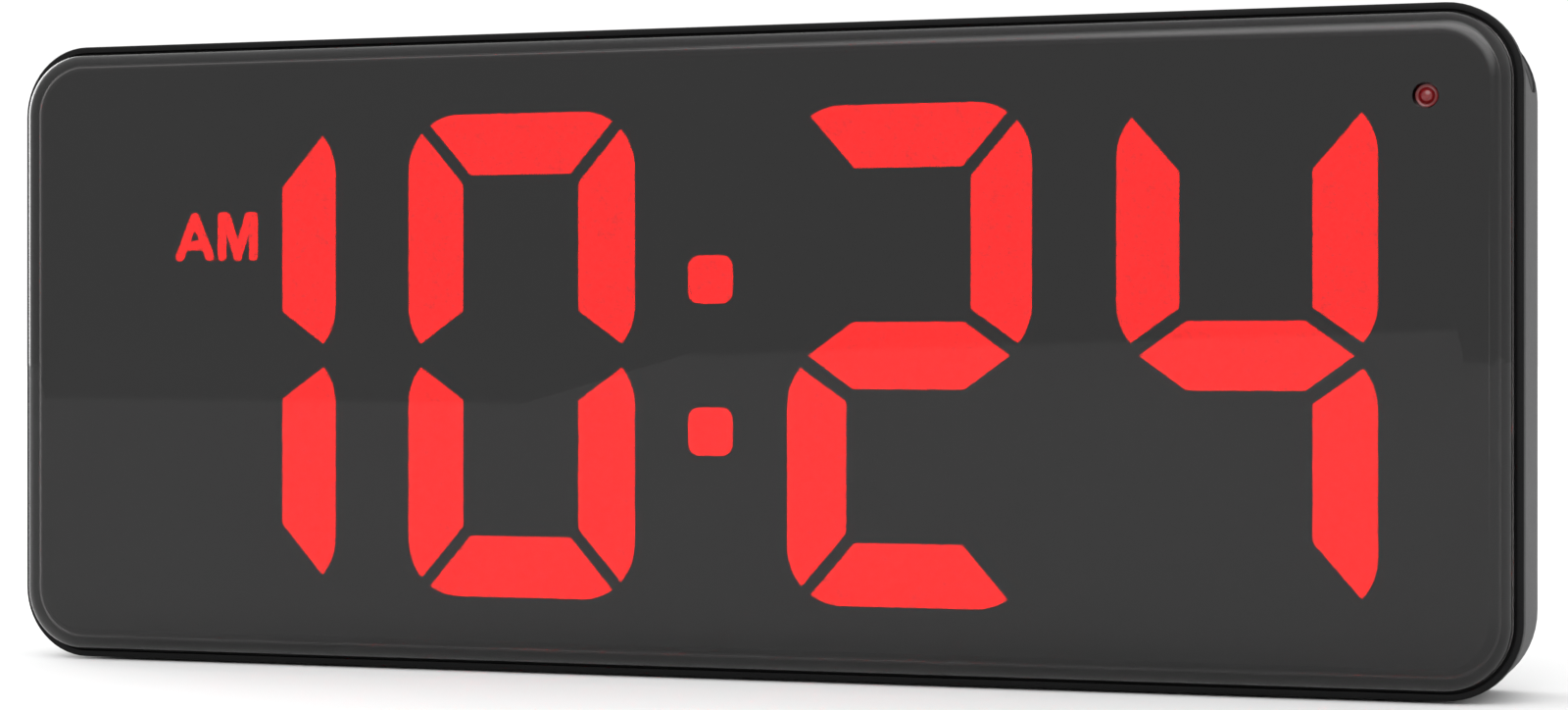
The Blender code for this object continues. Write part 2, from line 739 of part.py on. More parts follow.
def housing_path():
    """The case side as (inset, y) from the front edge to the back face: a drafted side, a round shoulder, a
    taper and a round back edge."""
    inset = 0.15 * MM
    y = HOUSING_FRONT
    path = [(inset, y)]
    inset += SIDE_LENGTH * math.tan(SIDE_DRAFT)
    y += SIDE_LENGTH
    path.append((inset, y))
    for step in range(1, 3):
        angle = SIDE_DRAFT + (TAPER - SIDE_DRAFT) * step / 2
        path.append(
            (
                inset + SHOULDER_RADIUS * (math.cos(SIDE_DRAFT) - math.cos(angle)),
                y + SHOULDER_RADIUS * (math.sin(angle) - math.sin(SIDE_DRAFT)),
            )
        )
    inset, y = path[-1]
    straight = BACK - y - BACK_RADIUS * (1 - math.sin(TAPER))
    inset += straight * math.tan(TAPER)
    y += straight
    path.append((inset, y))
    for step in range(1, 5):
        angle = TAPER + (math.pi / 2 - TAPER) * step / 4
        path.append(
            (
                inset + BACK_RADIUS * (math.cos(TAPER) - math.cos(angle)),
                y + BACK_RADIUS * (math.sin(angle) - math.sin(TAPER)),
            )
        )
    return path


def housing_inset(y):
    """How far the drafted side has moved in at y."""
    return 0.15 * MM + (y - HOUSING_FRONT) * math.tan(SIDE_DRAFT)


def bottom_inset(y):
    """The base stays flat up to the round back edge."""
    start = BACK - BACK_RADIUS
    if y <= start:
        return 0.0
    across = min((y - start) / BACK_RADIUS, 1.0)
    return BACK_RADIUS * (1 - math.sqrt(1 - across * across))


def housing_shell():
    loops = [(case_loop(inset, HOUSING_RADIUS, bottom_inset(y)), y) for inset, y in housing_path()]
    shell = loft("rear_housing", loops)
    thicken = shell.modifiers.new("wall", "SOLIDIFY")
    thicken.thickness = HOUSING_WALL
    thicken.offset = -1
    thicken.use_even_offset = True
    return shell


def panel_limits():
    left = SLIDER_X - SLIDER_LENGTH / 2 - PANEL_MARGIN
    right = BUTTON_X + BUTTON_PITCH * (len(BUTTON_NAMES) - 1) + BUTTON_RADIUS + PANEL_MARGIN
    half = BUTTON_RADIUS + PANEL_MARGIN
    return (left, right), (BUTTON_Z - half, BUTTON_Z + half)


def stand_limits():
    """The stand's leg when folded, as limits along X, Y and Z."""
    low = STAND_AXIS_Z - STAND_LENGTH
    face = BACK - STAND_RECESS
    return (-STAND_WIDTH / 2, STAND_WIDTH / 2), (face - STAND_THICKNESS, face), (low, STAND_AXIS_Z)


def stand_axis_y():
    return BACK - STAND_RECESS - KNUCKLE_RADIUS


def grown(limits, by):
    return (limits[0] - by, limits[1] + by)


def battery_limits():
    """The battery holder's square, and the cover's, as limits along X and Z."""
    half = HOLDER_SIZE / 2
    holder = (BATTERY_X - half, BATTERY_X + half), (BATTERY_Z - half, BATTERY_Z + half)
    cover = tuple(grown(pair, COVER_MARGIN) for pair in holder)
    return holder, cover


def holder_depth():
    return CELL_THICKNESS + 2.4 * MM


def rear_housing():
    shell = housing_shell()
    # Material behind the stand and round the battery well
    stand_x, _, stand_z = stand_limits()
    pocket_floor = stand_axis_y() - KNUCKLE_RADIUS - GAP
    stand_top = STAND_AXIS_Z + KNUCKLE_RADIUS + GAP
    stand_boss = block(
        "stand_boss",
        grown(stand_x, GAP + 2 * BOSS_WALL),
        (pocket_floor - BOSS_WALL, BACK - 1.2 * MM),
        (stand_z[0] - GAP - BOSS_WALL, stand_top + BOSS_WALL),
    )
    holder, cover = battery_limits()
    well_floor = BACK - COVER_THICKNESS - GAP - holder_depth() - 2 * GAP
    battery_boss = block(
        "battery_boss",
        grown(cover[0], COVER_TRAVEL + BOSS_WALL),
        (well_floor - BOSS_WALL, BACK - 1.2 * MM),
        grown(cover[1], BOSS_WALL),
    )
    join(shell, stand_boss, battery_boss)
    # Stand pocket, its finger notch and the pin's bore
    stand_pocket = block(
        "stand_pocket", grown(stand_x, GAP), (pocket_floor, BACK + MM), (stand_z[0] - GAP, stand_top)
    )
    pin_bore = rod(
        "stand_bore",
        (stand_axis_y(), STAND_AXIS_Z),
        STAND_PIN_RADIUS + GAP,
        grown(stand_x, 2.4 * MM + GAP),
        axis="X",
        steps=16,
    )
    notch_depth = (BACK - 2.2 * MM, BACK + MM)
    notch = rod("finger_notch", (stand_x[1], stand_z[0] + 9 * MM), 6 * MM, notch_depth, steps=20)
    # Battery well, its cover recess and the cover's run
    well = block(
        "battery_well", grown(holder[0], GAP), (well_floor, BACK + MM), grown(holder[1], GAP)
    )
    recess_x = (cover[0][0] - GAP - COVER_TRAVEL, cover[0][1] + GAP)
    recess = block(
        "cover_recess", recess_x, (BACK - COVER_THICKNESS - GAP, BACK + MM), grown(cover[1], GAP)
    )
    cut(shell, stand_pocket, pin_bore, notch, well, recess)
    # Button panel with its holes and the slide switch's slot
    panel_x, panel_z = panel_limits()
    panel_outline = rounded(panel_x, panel_z, 5 * MM, steps=5)
    panel = plate("button_panel", [panel_outline], (BACK - PANEL_DEPTH, BACK + MM))
    cut(shell, panel)
    through = (BACK_INNER - MM, BACK + MM)
    for number in range(len(BUTTON_NAMES)):
        x = BUTTON_X + number * BUTTON_PITCH
        cut(shell, rod("button_hole", (x, BUTTON_Z), BUTTON_RADIUS + BUTTON_CLEARANCE, through))
    slot_x = (SLIDER_X - SLIDER_LENGTH / 2 - GAP, SLIDER_X + SLIDER_LENGTH / 2 + SLIDER_TRAVEL + GAP)
    slot_z = (BUTTON_Z - SLIDER_HEIGHT / 2 - GAP, BUTTON_Z + SLIDER_HEIGHT / 2 + GAP)
    cut(shell, block("slider_slot", slot_x, through, slot_z))
    # Power jack, sound holes, keyholes and screw holes
    cut(shell, rod("jack_hole", (JACK_X, JACK_Z), JACK_RADIUS + GAP, through))
    cut(shell, rod("sound_hole", (BUZZER_X, BUZZER_Z), SOUND_HOLE, through, steps=12))
    for number in range(6):
        angle = math.radians(60 * number)
        place = (BUZZER_X + 3.4 * MM * math.cos(angle), BUZZER_Z + 3.4 * MM * math.sin(angle))
        cut(shell, rod("sound_hole", place, SOUND_HOLE, through, steps=12))
    for side in (-1, 1):
        entry = rod("keyhole_entry", (side * KEYHOLE_X, KEYHOLE_Z), KEYHOLE_ENTRY, through)
        rise = dot_outline(
            side * KEYHOLE_X, KEYHOLE_Z + KEYHOLE_RISE / 2, 2 * KEYHOLE_SLOT,
            KEYHOLE_RISE + 2 * KEYHOLE_SLOT, KEYHOLE_SLOT * 0.98,
        )
        cut(shell, entry, plate("keyhole_slot", [rise], through))
        for z in SCREW_Z:
            seat = (
                (0.0, BACK + MM),
                (SCREW_HEAD_RADIUS + GAP, BACK + MM),
                (SCREW_HEAD_RADIUS + GAP, BACK - SCREW_HEAD_HEIGHT),
                (SCREW_RADIUS + GAP, BACK - SCREW_HEAD_HEIGHT),
                (SCREW_RADIUS + GAP, BACK_INNER - MM),
                (0.0, BACK_INNER - MM),
            )
            cut(shell, turned("screw_seat", (side * SCREW_X, z), seat, steps=20))
    # Feet pockets in the base
    for side in (-1, 1):
        for y in FOOT_Y:
            pocket = block(
                "foot_pocket",
                grown((side * FOOT_X - FOOT_LENGTH / 2, side * FOOT_X + FOOT_LENGTH / 2), GAP),
                grown((y - FOOT_WIDTH / 2, y + FOOT_WIDTH / 2), GAP),
                (BASE - MM, BASE + FOOT_POCKET),
            )
            cut(shell, pocket)
    # Groove that the top trim lies in, and the snooze bar's window
    cut(shell, trim_band("trim_groove", GAP, -MM, TRIM_THICKNESS + GAP + 0.2 * MM))
    half = SNOOZE_LENGTH / 2 + GAP
    window = block("snooze_window", (-half, half), grown(trim_y(), GAP), (TOP - 6 * MM, TOP + MM))
    cut(shell, window)
    finish(shell, material("housing_plastic", COLOUR_BLACK, 0.5))


# Top trim and the snooze bar in the middle of it


def trim_y():
    return RIM_BACK + TRIM_FRONT, RIM_BACK + TRIM_FRONT + TRIM_WIDTH


def trim_band(name, grow, outer, inner):
    """A band over the top and both upper corners, between two depths under the case surface."""
    y = grown(trim_y(), grow)
    section = (
        (housing_inset(y[0]) + outer, y[0]),
        (housing_inset(y[1]) + outer, y[1]),
        (housing_inset(y[1]) + inner, y[1]),
        (housing_inset(y[0]) + inner, y[0]),
    )
    loops = [(case_loop(inset, HOUSING_RADIUS, inset), depth) for inset, depth in section]
    band = loft(name, loops, ring=True)
    low = TOP - TRIM_DROP - grow
    reach = WIDTH / 2 + 3 * MM
    window = rounded(y, (low, low + TRIM_DROP + 10 * MM), TRIM_END_RADIUS, steps=5)
    keep_inside(band, plate(name + "_ends", [window], (-reach, reach), axis="X"))
    return band


def top_trim():
    gloss = material("trim_gloss", COLOUR_GLOSS, 0.12)
    for name, side in (("top_trim_left", -1), ("top_trim_right", 1)):
        band = trim_band(name, 0.0, 0.2 * MM, 0.2 * MM + TRIM_THICKNESS)
        start = SNOOZE_LENGTH / 2 + 2 * GAP
        ends = sorted((side * start, side * WIDTH))
        keep_inside(band, block(name + "_half", ends, (FRONT, BACK), (BASE, TOP + 5 * MM)))
        finish(band, gloss)


def snooze_bar():
    y = trim_y()
    high = TOP - housing_inset(y[0]) + SNOOZE_PROUD
    low = high - SNOOZE_THICKNESS
    half = SNOOZE_LENGTH / 2
    middle_y = sum(y) / 2
    bar = plate("snooze_bar", [rounded((-half, half), (low, high), 0.8 * MM, steps=3)], y)
    # Its stem reaches down to the switch on the control board's top edge
    switch_y = (CONTROL_FACE - GAP - 5.5 * MM, CONTROL_FACE - GAP)
    switch_top = CONTROL_HIGH + 1.5 * MM
    stem_y = min(max(sum(switch_y) / 2, y[0] + 1.8 * MM), y[1] - 1.8 * MM)
    stem_z = (switch_top + SNOOZE_TRAVEL + GAP, low + 0.3 * MM)
    stem = rod("stem", (0.0, stem_y), STEM_RADIUS, stem_z, axis="Z", steps=20)
    tip = rod(
        "tip",
        (0.0, stem_y),
        SWITCH_PIN_RADIUS,
        (switch_top - 0.5 * MM, switch_top + 2 * MM),
        axis="Z",
        steps=16,
    )
    join(bar, stem, tip)
    finish(bar, material("snooze_gloss", COLOUR_GLOSS, 0.15), origin=(0.0, middle_y, high))
    switch = block(
        "snooze_switch",
        (-SWITCH_SIZE / 2, SWITCH_SIZE / 2),
        switch_y,
        (switch_top - SWITCH_HEIGHT, switch_top),
    )
    bore = rod(
        "switch_bore",
        (0.0, stem_y),
        SWITCH_PIN_RADIUS + GAP,
        (switch_top - 0.8 * MM - SNOOZE_TRAVEL, switch_top + MM),
        axis="Z",
        steps=16,
    )
    cut(switch, bore)
    finish(switch, material("switch_black", COLOUR_GLOSS, 0.4))


# Push buttons, their switches and the slide switch


def buttons():
    rubber = material("button_grey", (0.11, 0.11, 0.115), 0.5)
    black = material("tact_switch", COLOUR_GLOSS, 0.4)
    switch_y = (CONTROL_BACK + GAP, CONTROL_BACK + GAP + SWITCH_HEIGHT)
    tip_end = switch_y[1] - 0.6 * MM
    face = BACK - PANEL_DEPTH + BUTTON_PROUD
    flange = (BACK_INNER - GAP - 0.9 * MM, BACK_INNER - GAP)
    for number, name in enumerate(BUTTON_NAMES):
        place = (BUTTON_X + number * BUTTON_PITCH, BUTTON_Z)
        profile = (
            (0.0, face),
            (BUTTON_RADIUS - 0.5 * MM, face),
            (BUTTON_RADIUS, face - 0.5 * MM),
            (BUTTON_RADIUS, flange[1]),
            (BUTTON_RADIUS + 0.9 * MM, flange[1]),
            (BUTTON_RADIUS + 0.9 * MM, flange[0]),
            (STEM_RADIUS, flange[0]),
            (STEM_RADIUS, switch_y[1] + BUTTON_TRAVEL + GAP),
            (SWITCH_PIN_RADIUS, switch_y[1] + BUTTON_TRAVEL + GAP),
            (SWITCH_PIN_RADIUS, tip_end),
            (0.0, tip_end),
        )
        cap = turned(name + "_button", place, profile)
        finish(cap, rubber, origin=(place[0], face, place[1]))
        half = SWITCH_SIZE / 2
        across = grown((place[0], place[0]), half)
        body = block(name + "_switch", across, switch_y, grown((place[1], place[1]), half))
        bore = rod(
            "switch_bore",
            place,
            SWITCH_PIN_RADIUS + GAP,
            (tip_end - BUTTON_TRAVEL - GAP, switch_y[1] + MM),
            steps=16,
        )
        cut(body, bore)
        finish(body, black)


def slide_switch():
    base = (CONTROL_BACK + GAP, CONTROL_BACK + GAP + SWITCH_HEIGHT)
    middle = SLIDER_X + SLIDER_TRAVEL / 2
    body = block(
        "slide_switch", grown((middle, middle), 5 * MM), base, grown((BUTTON_Z, BUTTON_Z), 2.8 * MM)
    )
    lever = 1.2 * MM
    run = (SLIDER_X - lever / 2 - GAP, SLIDER_X + lever / 2 + SLIDER_TRAVEL + GAP)
    depth = (base[1] - 1.6 * MM, base[1] + MM)
    channel = block("channel", run, depth, grown((BUTTON_Z, BUTTON_Z), lever / 2 + GAP))
    cut(body, channel)
    finish(body, material("slide_switch", COLOUR_STEEL, 0.35, 1.0))
    face = BACK - PANEL_DEPTH + BUTTON_PROUD
    knob = block(
        "slide_knob",
        grown((SLIDER_X, SLIDER_X), SLIDER_LENGTH / 2),
        (BACK_INNER - MM, face),
        grown((BUTTON_Z, BUTTON_Z), SLIDER_HEIGHT / 2),
    )
    keeper = block(
        "keeper",
        grown((SLIDER_X, SLIDER_X), SLIDER_LENGTH / 2 + 1.5 * MM),
        (BACK_INNER - GAP - 1.2 * MM, BACK_INNER - GAP),
        grown((BUTTON_Z, BUTTON_Z), SLIDER_HEIGHT / 2 + 1.2 * MM),
    )
    arm = block(
        "arm",
        grown((SLIDER_X, SLIDER_X), lever / 2),
        (base[1] - 1.2 * MM, BACK_INNER - MM),
        grown((BUTTON_Z, BUTTON_Z), lever / 2),
    )
    join(knob, keeper, arm)
    finish(knob, material("knob_grey", (0.11, 0.11, 0.115), 0.5), origin=(SLIDER_X, face, BUTTON_Z))


# Power jack


def power_jack():
    half = JACK_BODY / 2
    base = CONTROL_BACK + GAP
    shoulder = BACK_INNER - GAP
    mouth = BACK - 0.4 * MM
    body = block(
        "power_jack", grown((JACK_X, JACK_X), half), (base, shoulder), grown((JACK_Z, JACK_Z), half)
    )
    collar = rod("jack_collar", (JACK_X, JACK_Z), JACK_RADIUS, (shoulder - MM, mouth))
    bore = rod("jack_bore", (JACK_X, JACK_Z), JACK_BORE_RADIUS, (base + 1.5 * MM, mouth + MM))
    join(body, collar)
    cut(body, bore)
    finish(body, material("jack_black", COLOUR_GLOSS, 0.4))
    pin = rod(
        "jack_pin", (JACK_X, JACK_Z), JACK_PIN_RADIUS, (base + 1.5 * MM + GAP, mouth - MM), steps=16
    )
    finish(pin, material("jack_pin", COLOUR_STEEL, 0.25, 1.0))


# Back-up cell, its holder and its sliding cover


def battery():
    holder, cover = battery_limits()
    top = BACK - COVER_THICKNESS - 2 * GAP
    floor = top - holder_depth()
    place = (BATTERY_X, BATTERY_Z)
    body = block("battery_holder", holder[0], (floor, top), holder[1])
    pocket = top - 0.2 * MM - CELL_THICKNESS - 3 * GAP
    cut(body, rod("cell_pocket", place, CELL_RADIUS + GAP, (pocket, top + MM), steps=40))
    finish(body, material("holder_black", COLOUR_GLOSS, 0.5))
    steel = material("contact_steel", COLOUR_STEEL, 0.25, 1.0)
    leaf = (pocket + GAP, pocket + GAP + CONTACT)
    finish(rod("negative_contact", place, 4 * MM, leaf, steps=20), steel)
    clip = block(
        "positive_contact",
        grown((BATTERY_X, BATTERY_X), 3 * MM),
        (top + 0.1 * MM, top + 0.1 * MM + CONTACT),
        (BATTERY_Z + CELL_RADIUS - 3 * MM, BATTERY_Z + HOLDER_SIZE / 2),
    )
    finish(clip, steel)
    cell = rod("coin_cell", place, CELL_RADIUS, (leaf[1] + GAP, leaf[1] + GAP + CELL_THICKNESS), steps=40)
    finish(cell, material("cell_steel", COLOUR_STEEL, 0.2, 1.0))
    lid = block(
        "battery_cover",
        cover[0],
        (BACK - COVER_THICKNESS, BACK - 0.1 * MM),
        cover[1],
    )
    for number in range(4):
        x = cover[0][1] - 6 * MM + number * 1.2 * MM
        groove = (BACK - 0.5 * MM, BACK + MM)
        rib = block("grip", (x, x + 0.6 * MM), groove, grown((BATTERY_Z, BATTERY_Z), 6 * MM))
        cut(lid, rib)
    middle = (BATTERY_X, BACK, BATTERY_Z)
    finish(lid, material("cover_plastic", COLOUR_BLACK, 0.5), origin=middle)


# Folding stand


def folding_stand():
    x, y, z = stand_limits()
    axis_y = stand_axis_y()
    half = STAND_WIDTH / 2
    leg = block("stand_leg", x, y, (z[0] + STAND_PAD, z[1]))
    knuckle = rod("knuckle", (axis_y, STAND_AXIS_Z), KNUCKLE_RADIUS, x, axis="X", steps=24)
    opening = plate(
        "leg_opening",
        [rounded((-half + 9 * MM, half - 9 * MM), (z[0] + STAND_PAD + 10 * MM, z[1] - 11 * MM), 4 * MM, steps=4)],
        (BACK - 1.6 * MM, BACK + MM),
    )
    bore = rod(
        "leg_bore", (axis_y, STAND_AXIS_Z), STAND_PIN_RADIUS + STAND_PIN_CLEARANCE, grown(x, MM), axis="X", steps=24
    )
    join(leg, knuckle)
    cut(leg, opening, bore)
    origin = (0.0, axis_y, STAND_AXIS_Z)
    finish(leg, material("stand_plastic", COLOUR_BLACK, 0.5), origin=origin)
    pin = rod(
        "stand_pin", (axis_y, STAND_AXIS_Z), STAND_PIN_RADIUS, grown(x, 2.4 * MM), axis="X", steps=24
    )
    finish(pin, material("pin_steel", COLOUR_STEEL, 0.25, 1.0))
    pad = block("stand_pad", x, y, (z[0], z[0] + STAND_PAD - GAP))
    finish(pad, material("stand_rubber", COLOUR_GLOSS, 0.9), origin=origin)


# Feet and screws


def feet():
    rubber = material("foot_rubber", COLOUR_GLOSS, 0.9)
    for row, y in zip(("front", "rear"), FOOT_Y):
        for column, side in (("left", -1), ("right", 1)):
            pad = block(
                "foot_" + row + "_" + column,
                grown((side * FOOT_X, side * FOOT_X), FOOT_LENGTH / 2),
                grown((y, y), FOOT_WIDTH / 2),
                (BASE - FOOT_PROUD, BASE + FOOT_POCKET - GAP),
            )
            finish(pad, rubber)


def screws():
    steel = material("screw_black", (0.06, 0.06, 0.065), 0.35, 1.0)
    shoulder = BACK - SCREW_HEAD_HEIGHT + GAP
    for row, z in zip(("lower", "upper"), SCREW_Z):
        for column, side in (("left", -1), ("right", 1)):
            place = (side * SCREW_X, z)
            end = BACK_INNER - SCREW_LENGTH + MM
            profile = (
                (0.0, BACK - 0.2 * MM),
                (SCREW_HEAD_RADIUS, BACK - 0.2 * MM),
                (SCREW_HEAD_RADIUS, shoulder),
                (SCREW_RADIUS, shoulder),
                (SCREW_RADIUS, end),
                (0.0, end),
            )
            head = turned("case_screw_" + row + "_" + column, place, profile, steps=20)
            bar_y = (BACK - 0.8 * MM, BACK + MM)
            long, thin = 1.4 * MM, 0.3 * MM
            bar_one = block("cross", grown((place[0], place[0]), long), bar_y, grown((z, z), thin))
            bar_two = block("cross", grown((place[0], place[0]), thin), bar_y, grown((z, z), long))
            cut(head, bar_one, bar_two)
            finish(head, steel)


lens()
lens_adhesive()
front_frame()
light_sensor()
display_board(display())
control_electronics()
rear_housing()
top_trim()
snooze_bar()
buttons()
slide_switch()
power_jack()
battery()
folding_stand()
feet()
screws()
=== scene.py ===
import math

import bmesh
import bpy
from mathutils import Matrix, Vector


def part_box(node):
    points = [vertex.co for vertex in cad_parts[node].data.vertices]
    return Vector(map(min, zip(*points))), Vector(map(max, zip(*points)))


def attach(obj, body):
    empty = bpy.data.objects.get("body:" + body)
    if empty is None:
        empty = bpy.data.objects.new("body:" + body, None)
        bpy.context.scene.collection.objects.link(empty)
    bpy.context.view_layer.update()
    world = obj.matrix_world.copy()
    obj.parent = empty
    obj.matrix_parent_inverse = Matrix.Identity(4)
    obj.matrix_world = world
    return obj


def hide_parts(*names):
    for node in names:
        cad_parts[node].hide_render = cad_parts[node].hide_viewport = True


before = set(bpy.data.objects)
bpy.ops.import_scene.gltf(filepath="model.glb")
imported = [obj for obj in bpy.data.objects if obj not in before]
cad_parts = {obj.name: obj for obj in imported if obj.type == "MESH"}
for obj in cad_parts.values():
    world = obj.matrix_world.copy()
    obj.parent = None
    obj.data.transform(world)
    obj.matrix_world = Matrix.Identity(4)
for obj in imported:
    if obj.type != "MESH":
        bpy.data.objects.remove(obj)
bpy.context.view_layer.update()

# Camera: level with the middle of the clock, at about arm's length and a little to its right,
# so that the right side of the case shows as a thin band.
lens_mount = bpy.data.cameras.new("camera")
lens_mount.sensor_width = 36.0
lens_mount.lens = 90.2
lens_mount.shift_y = -0.0021
lens_mount.clip_start = 0.01
camera = bpy.data.objects.new("camera", lens_mount)
camera.location = (0.23737, -0.57843, 0.0512)
camera.rotation_euler = (math.radians(90), 0, math.radians(21.8))
bpy.context.scene.collection.objects.link(camera)
bpy.context.scene.camera = camera
bpy.context.scene.view_settings.view_transform = "Standard"


# Studio: a plain pale floor under a white surround. A large soft panel high in front gives the
# glossy face its band of light along the top edge, and one behind at the left lights that edge.
def add_node(tree, kind, **inputs):
    node = tree.nodes.new(kind)
    for name, value in inputs.items():
        node.inputs[name.replace("_", " ")].default_value = value
    return node


def surround_light():
    world = bpy.data.worlds.new("studio")
    world.use_nodes = True
    tree = world.node_tree
    background = tree.nodes["Background"]
    background.inputs["Color"].default_value = (1, 1, 1, 1)
    direction = tree.nodes.new("ShaderNodeTexCoord").outputs["Generated"]
    level = None
    panels = (
        ((5, 34), 32, 8, 3.5),
        ((-120, 15), 30, 8, 3.0),
        ((60, 55), 50, 10, 0.15),
    )
    for (azimuth, height), wide, core, strength in panels:
        a, e = math.radians(azimuth), math.radians(height)
        aim = tree.nodes.new("ShaderNodeVectorMath")
        aim.operation = "DOT_PRODUCT"
        aim.inputs[1].default_value = (
            math.sin(a) * math.cos(e), -math.cos(a) * math.cos(e), math.sin(e),
        )
        tree.links.new(direction, aim.inputs[0])
        soft = tree.nodes.new("ShaderNodeMapRange")
        soft.interpolation_type = "SMOOTHSTEP"
        soft.inputs["From Min"].default_value = math.cos(math.radians(wide))
        soft.inputs["From Max"].default_value = math.cos(math.radians(core))
        soft.inputs["To Max"].default_value = strength
        tree.links.new(aim.outputs["Value"], soft.inputs["Value"])
        total = tree.nodes.new("ShaderNodeMath")
        total.operation = "ADD"
        total.inputs[1].default_value = 1.04
        if level is not None:
            tree.links.new(level, total.inputs[1])
        tree.links.new(soft.outputs["Result"], total.inputs[0])
        level = total.outputs["Value"]
    tree.links.new(level, background.inputs["Strength"])
    bpy.context.scene.world = world


surround_light()

floor_paint = bpy.data.materials.new("floor_paint")
floor_paint.use_nodes = True
floor_shader = floor_paint.node_tree.nodes["Principled BSDF"]
floor_shader.inputs["Roughness"].default_value = 0.9
floor_mottle = add_node(floor_paint.node_tree, "ShaderNodeTexNoise", Scale=9.0, Detail=3.0)
floor_place = floor_paint.node_tree.nodes.new("ShaderNodeTexCoord")
floor_tone = floor_paint.node_tree.nodes.new("ShaderNodeMix")
floor_tone.data_type = "RGBA"
floor_tone.inputs["A"].default_value = (0.81, 0.81, 0.81, 1)
floor_tone.inputs["B"].default_value = (0.83, 0.83, 0.83, 1)
floor_paint.node_tree.links.new(floor_place.outputs["Object"], floor_mottle.inputs["Vector"])
floor_paint.node_tree.links.new(floor_mottle.outputs["Fac"], floor_tone.inputs["Factor"])
floor_paint.node_tree.links.new(floor_tone.outputs["Result"], floor_shader.inputs["Base Color"])
sheet = bmesh.new()
bmesh.ops.create_grid(sheet, x_segments=1, y_segments=1, size=12.0)
floor_mesh = bpy.data.meshes.new("floor")
sheet.to_mesh(floor_mesh)
sheet.free()
floor_mesh.materials.append(floor_paint)
floor = bpy.data.objects.new("floor", floor_mesh)
bpy.context.scene.collection.objects.link(floor)


# Front frame: a one-piece black moulding. Its narrow flat rim stands round the lens, a wide
# ledge behind carries the lens, and a spigot and four screw posts reach back into the housing.
MM = 0.001
BASE = 0.4 * MM
TOP = 102.0 * MM
SIDE = 126.0 * MM
FRAME_CORNER = 11.5 * MM
HOUSING_CORNER = 13.8 * MM


def case_section(inset, y, corner, bottom=None):
    """The case outline moved in, with its own bottom edge, as (x, z, radius, y)."""
    low = BASE + (inset if bottom is None else bottom)
    return (-SIDE + inset, SIDE - inset), (low, TOP - inset), corner - inset, y


def loft(sections, ring=False, segments=14):
    """Rounded rectangles joined one after the other, capped at both ends or closed as a ring."""
    bm = bmesh.new()
    faces = []
    for x, z, radius, y in sections + sections[:1] if ring else sections:
        before = set(bm.faces)
        corners = [
            bm.verts.new(place)
            for place in ((x[0], y, z[0]), (x[1], y, z[0]), (x[1], y, z[1]), (x[0], y, z[1]))
        ]
        bm.faces.new(corners)
        bmesh.ops.bevel(
            bm, geom=corners, offset=radius, offset_type="OFFSET", affect="VERTICES",
            segments=segments, profile=0.5, material=-1,
        )
        faces.append(next(face for face in bm.faces if face not in before))
    for near, far in zip(faces, faces[1:]):
        bmesh.ops.bridge_loops(bm, edges=list(near.edges) + list(far.edges))
    bmesh.ops.delete(bm, geom=faces if ring else faces[1:-1], context="FACES_ONLY")
    bmesh.ops.remove_doubles(bm, verts=bm.verts, dist=1e-7)
    bmesh.ops.recalc_face_normals(bm, faces=bm.faces)
    return bm


def slab(x, y, z, radius=0.0, axis="Y", segments=8, into=None):
    """A block between limits, its four edges along one axis rounded."""
    bm = into or bmesh.new()
    size = Matrix.Diagonal((x[1] - x[0], y[1] - y[0], z[1] - z[0], 1))
    middle = Matrix.Translation((sum(x) / 2, sum(y) / 2, sum(z) / 2))
    verts = bmesh.ops.create_cube(bm, size=1.0, matrix=middle @ size)["verts"]
    if radius:
        index = "XYZ".index(axis)
        edges = {edge for vert in verts for edge in vert.link_edges}
        along = [
            edge for edge in edges
            if abs((edge.verts[1].co - edge.verts[0].co).normalized()[index]) > 0.99
        ]
        bmesh.ops.bevel(
            bm, geom=along, offset=radius, offset_type="OFFSET", affect="EDGES",
            segments=segments, profile=0.5, material=-1,
        )
    return bm


def rod(place, radius, limits, axis="Y", steps=48, into=None):
    """A cylinder along one axis between two limits; place gives the other two coordinates."""
    bm = into or bmesh.new()
    middle, length = sum(limits) / 2, limits[1] - limits[0]
    if axis == "Y":
        turn = Matrix.Rotation(math.pi / 2, 4, "X")
        centre = (place[0], middle, place[1])
    elif axis == "X":
        turn = Matrix.Rotation(math.pi / 2, 4, "Y")
        centre = (middle, place[0], place[1])
    else:
        turn = Matrix.Identity(4)
        centre = (place[0], place[1], middle)
    bmesh.ops.create_cone(
        bm, cap_ends=True, segments=steps, radius1=radius, radius2=radius, depth=length,
        matrix=Matrix.Translation(centre) @ turn,
    )
    return bm


def turned(place, profile):
    """A profile of (radius, y) points turned about Y at (x, z)."""
    bm = bmesh.new()
    verts = [bm.verts.new((place[0] + radius, y, place[1])) for radius, y in profile]
    edges = [bm.edges.new(pair) for pair in zip(verts, verts[1:])]
    bmesh.ops.spin(
        bm, geom=verts + edges, cent=(place[0], 0, place[1]), axis=(0, 1, 0),
        angle=math.tau, steps=48, use_merge=True,
    )
    bmesh.ops.remove_doubles(bm, verts=bm.verts, dist=1e-7)
    bmesh.ops.recalc_face_normals(bm, faces=bm.faces)
    return bm


def soften(bm, width, segments=2, where=None):
    """Rounds the hard edges, or those that the test picks."""
    hard = [
        edge for edge in bm.edges
        if len(edge.link_faces) == 2
        and edge.calc_face_angle(0) > math.radians(50)
        and (where is None or where((edge.verts[0].co + edge.verts[1].co) / 2))
    ]
    bmesh.ops.bevel(
        bm, geom=hard, offset=width, offset_type="OFFSET", affect="EDGES", segments=segments,
        profile=0.5, material=-1, clamp_overlap=True,
    )
    return bm


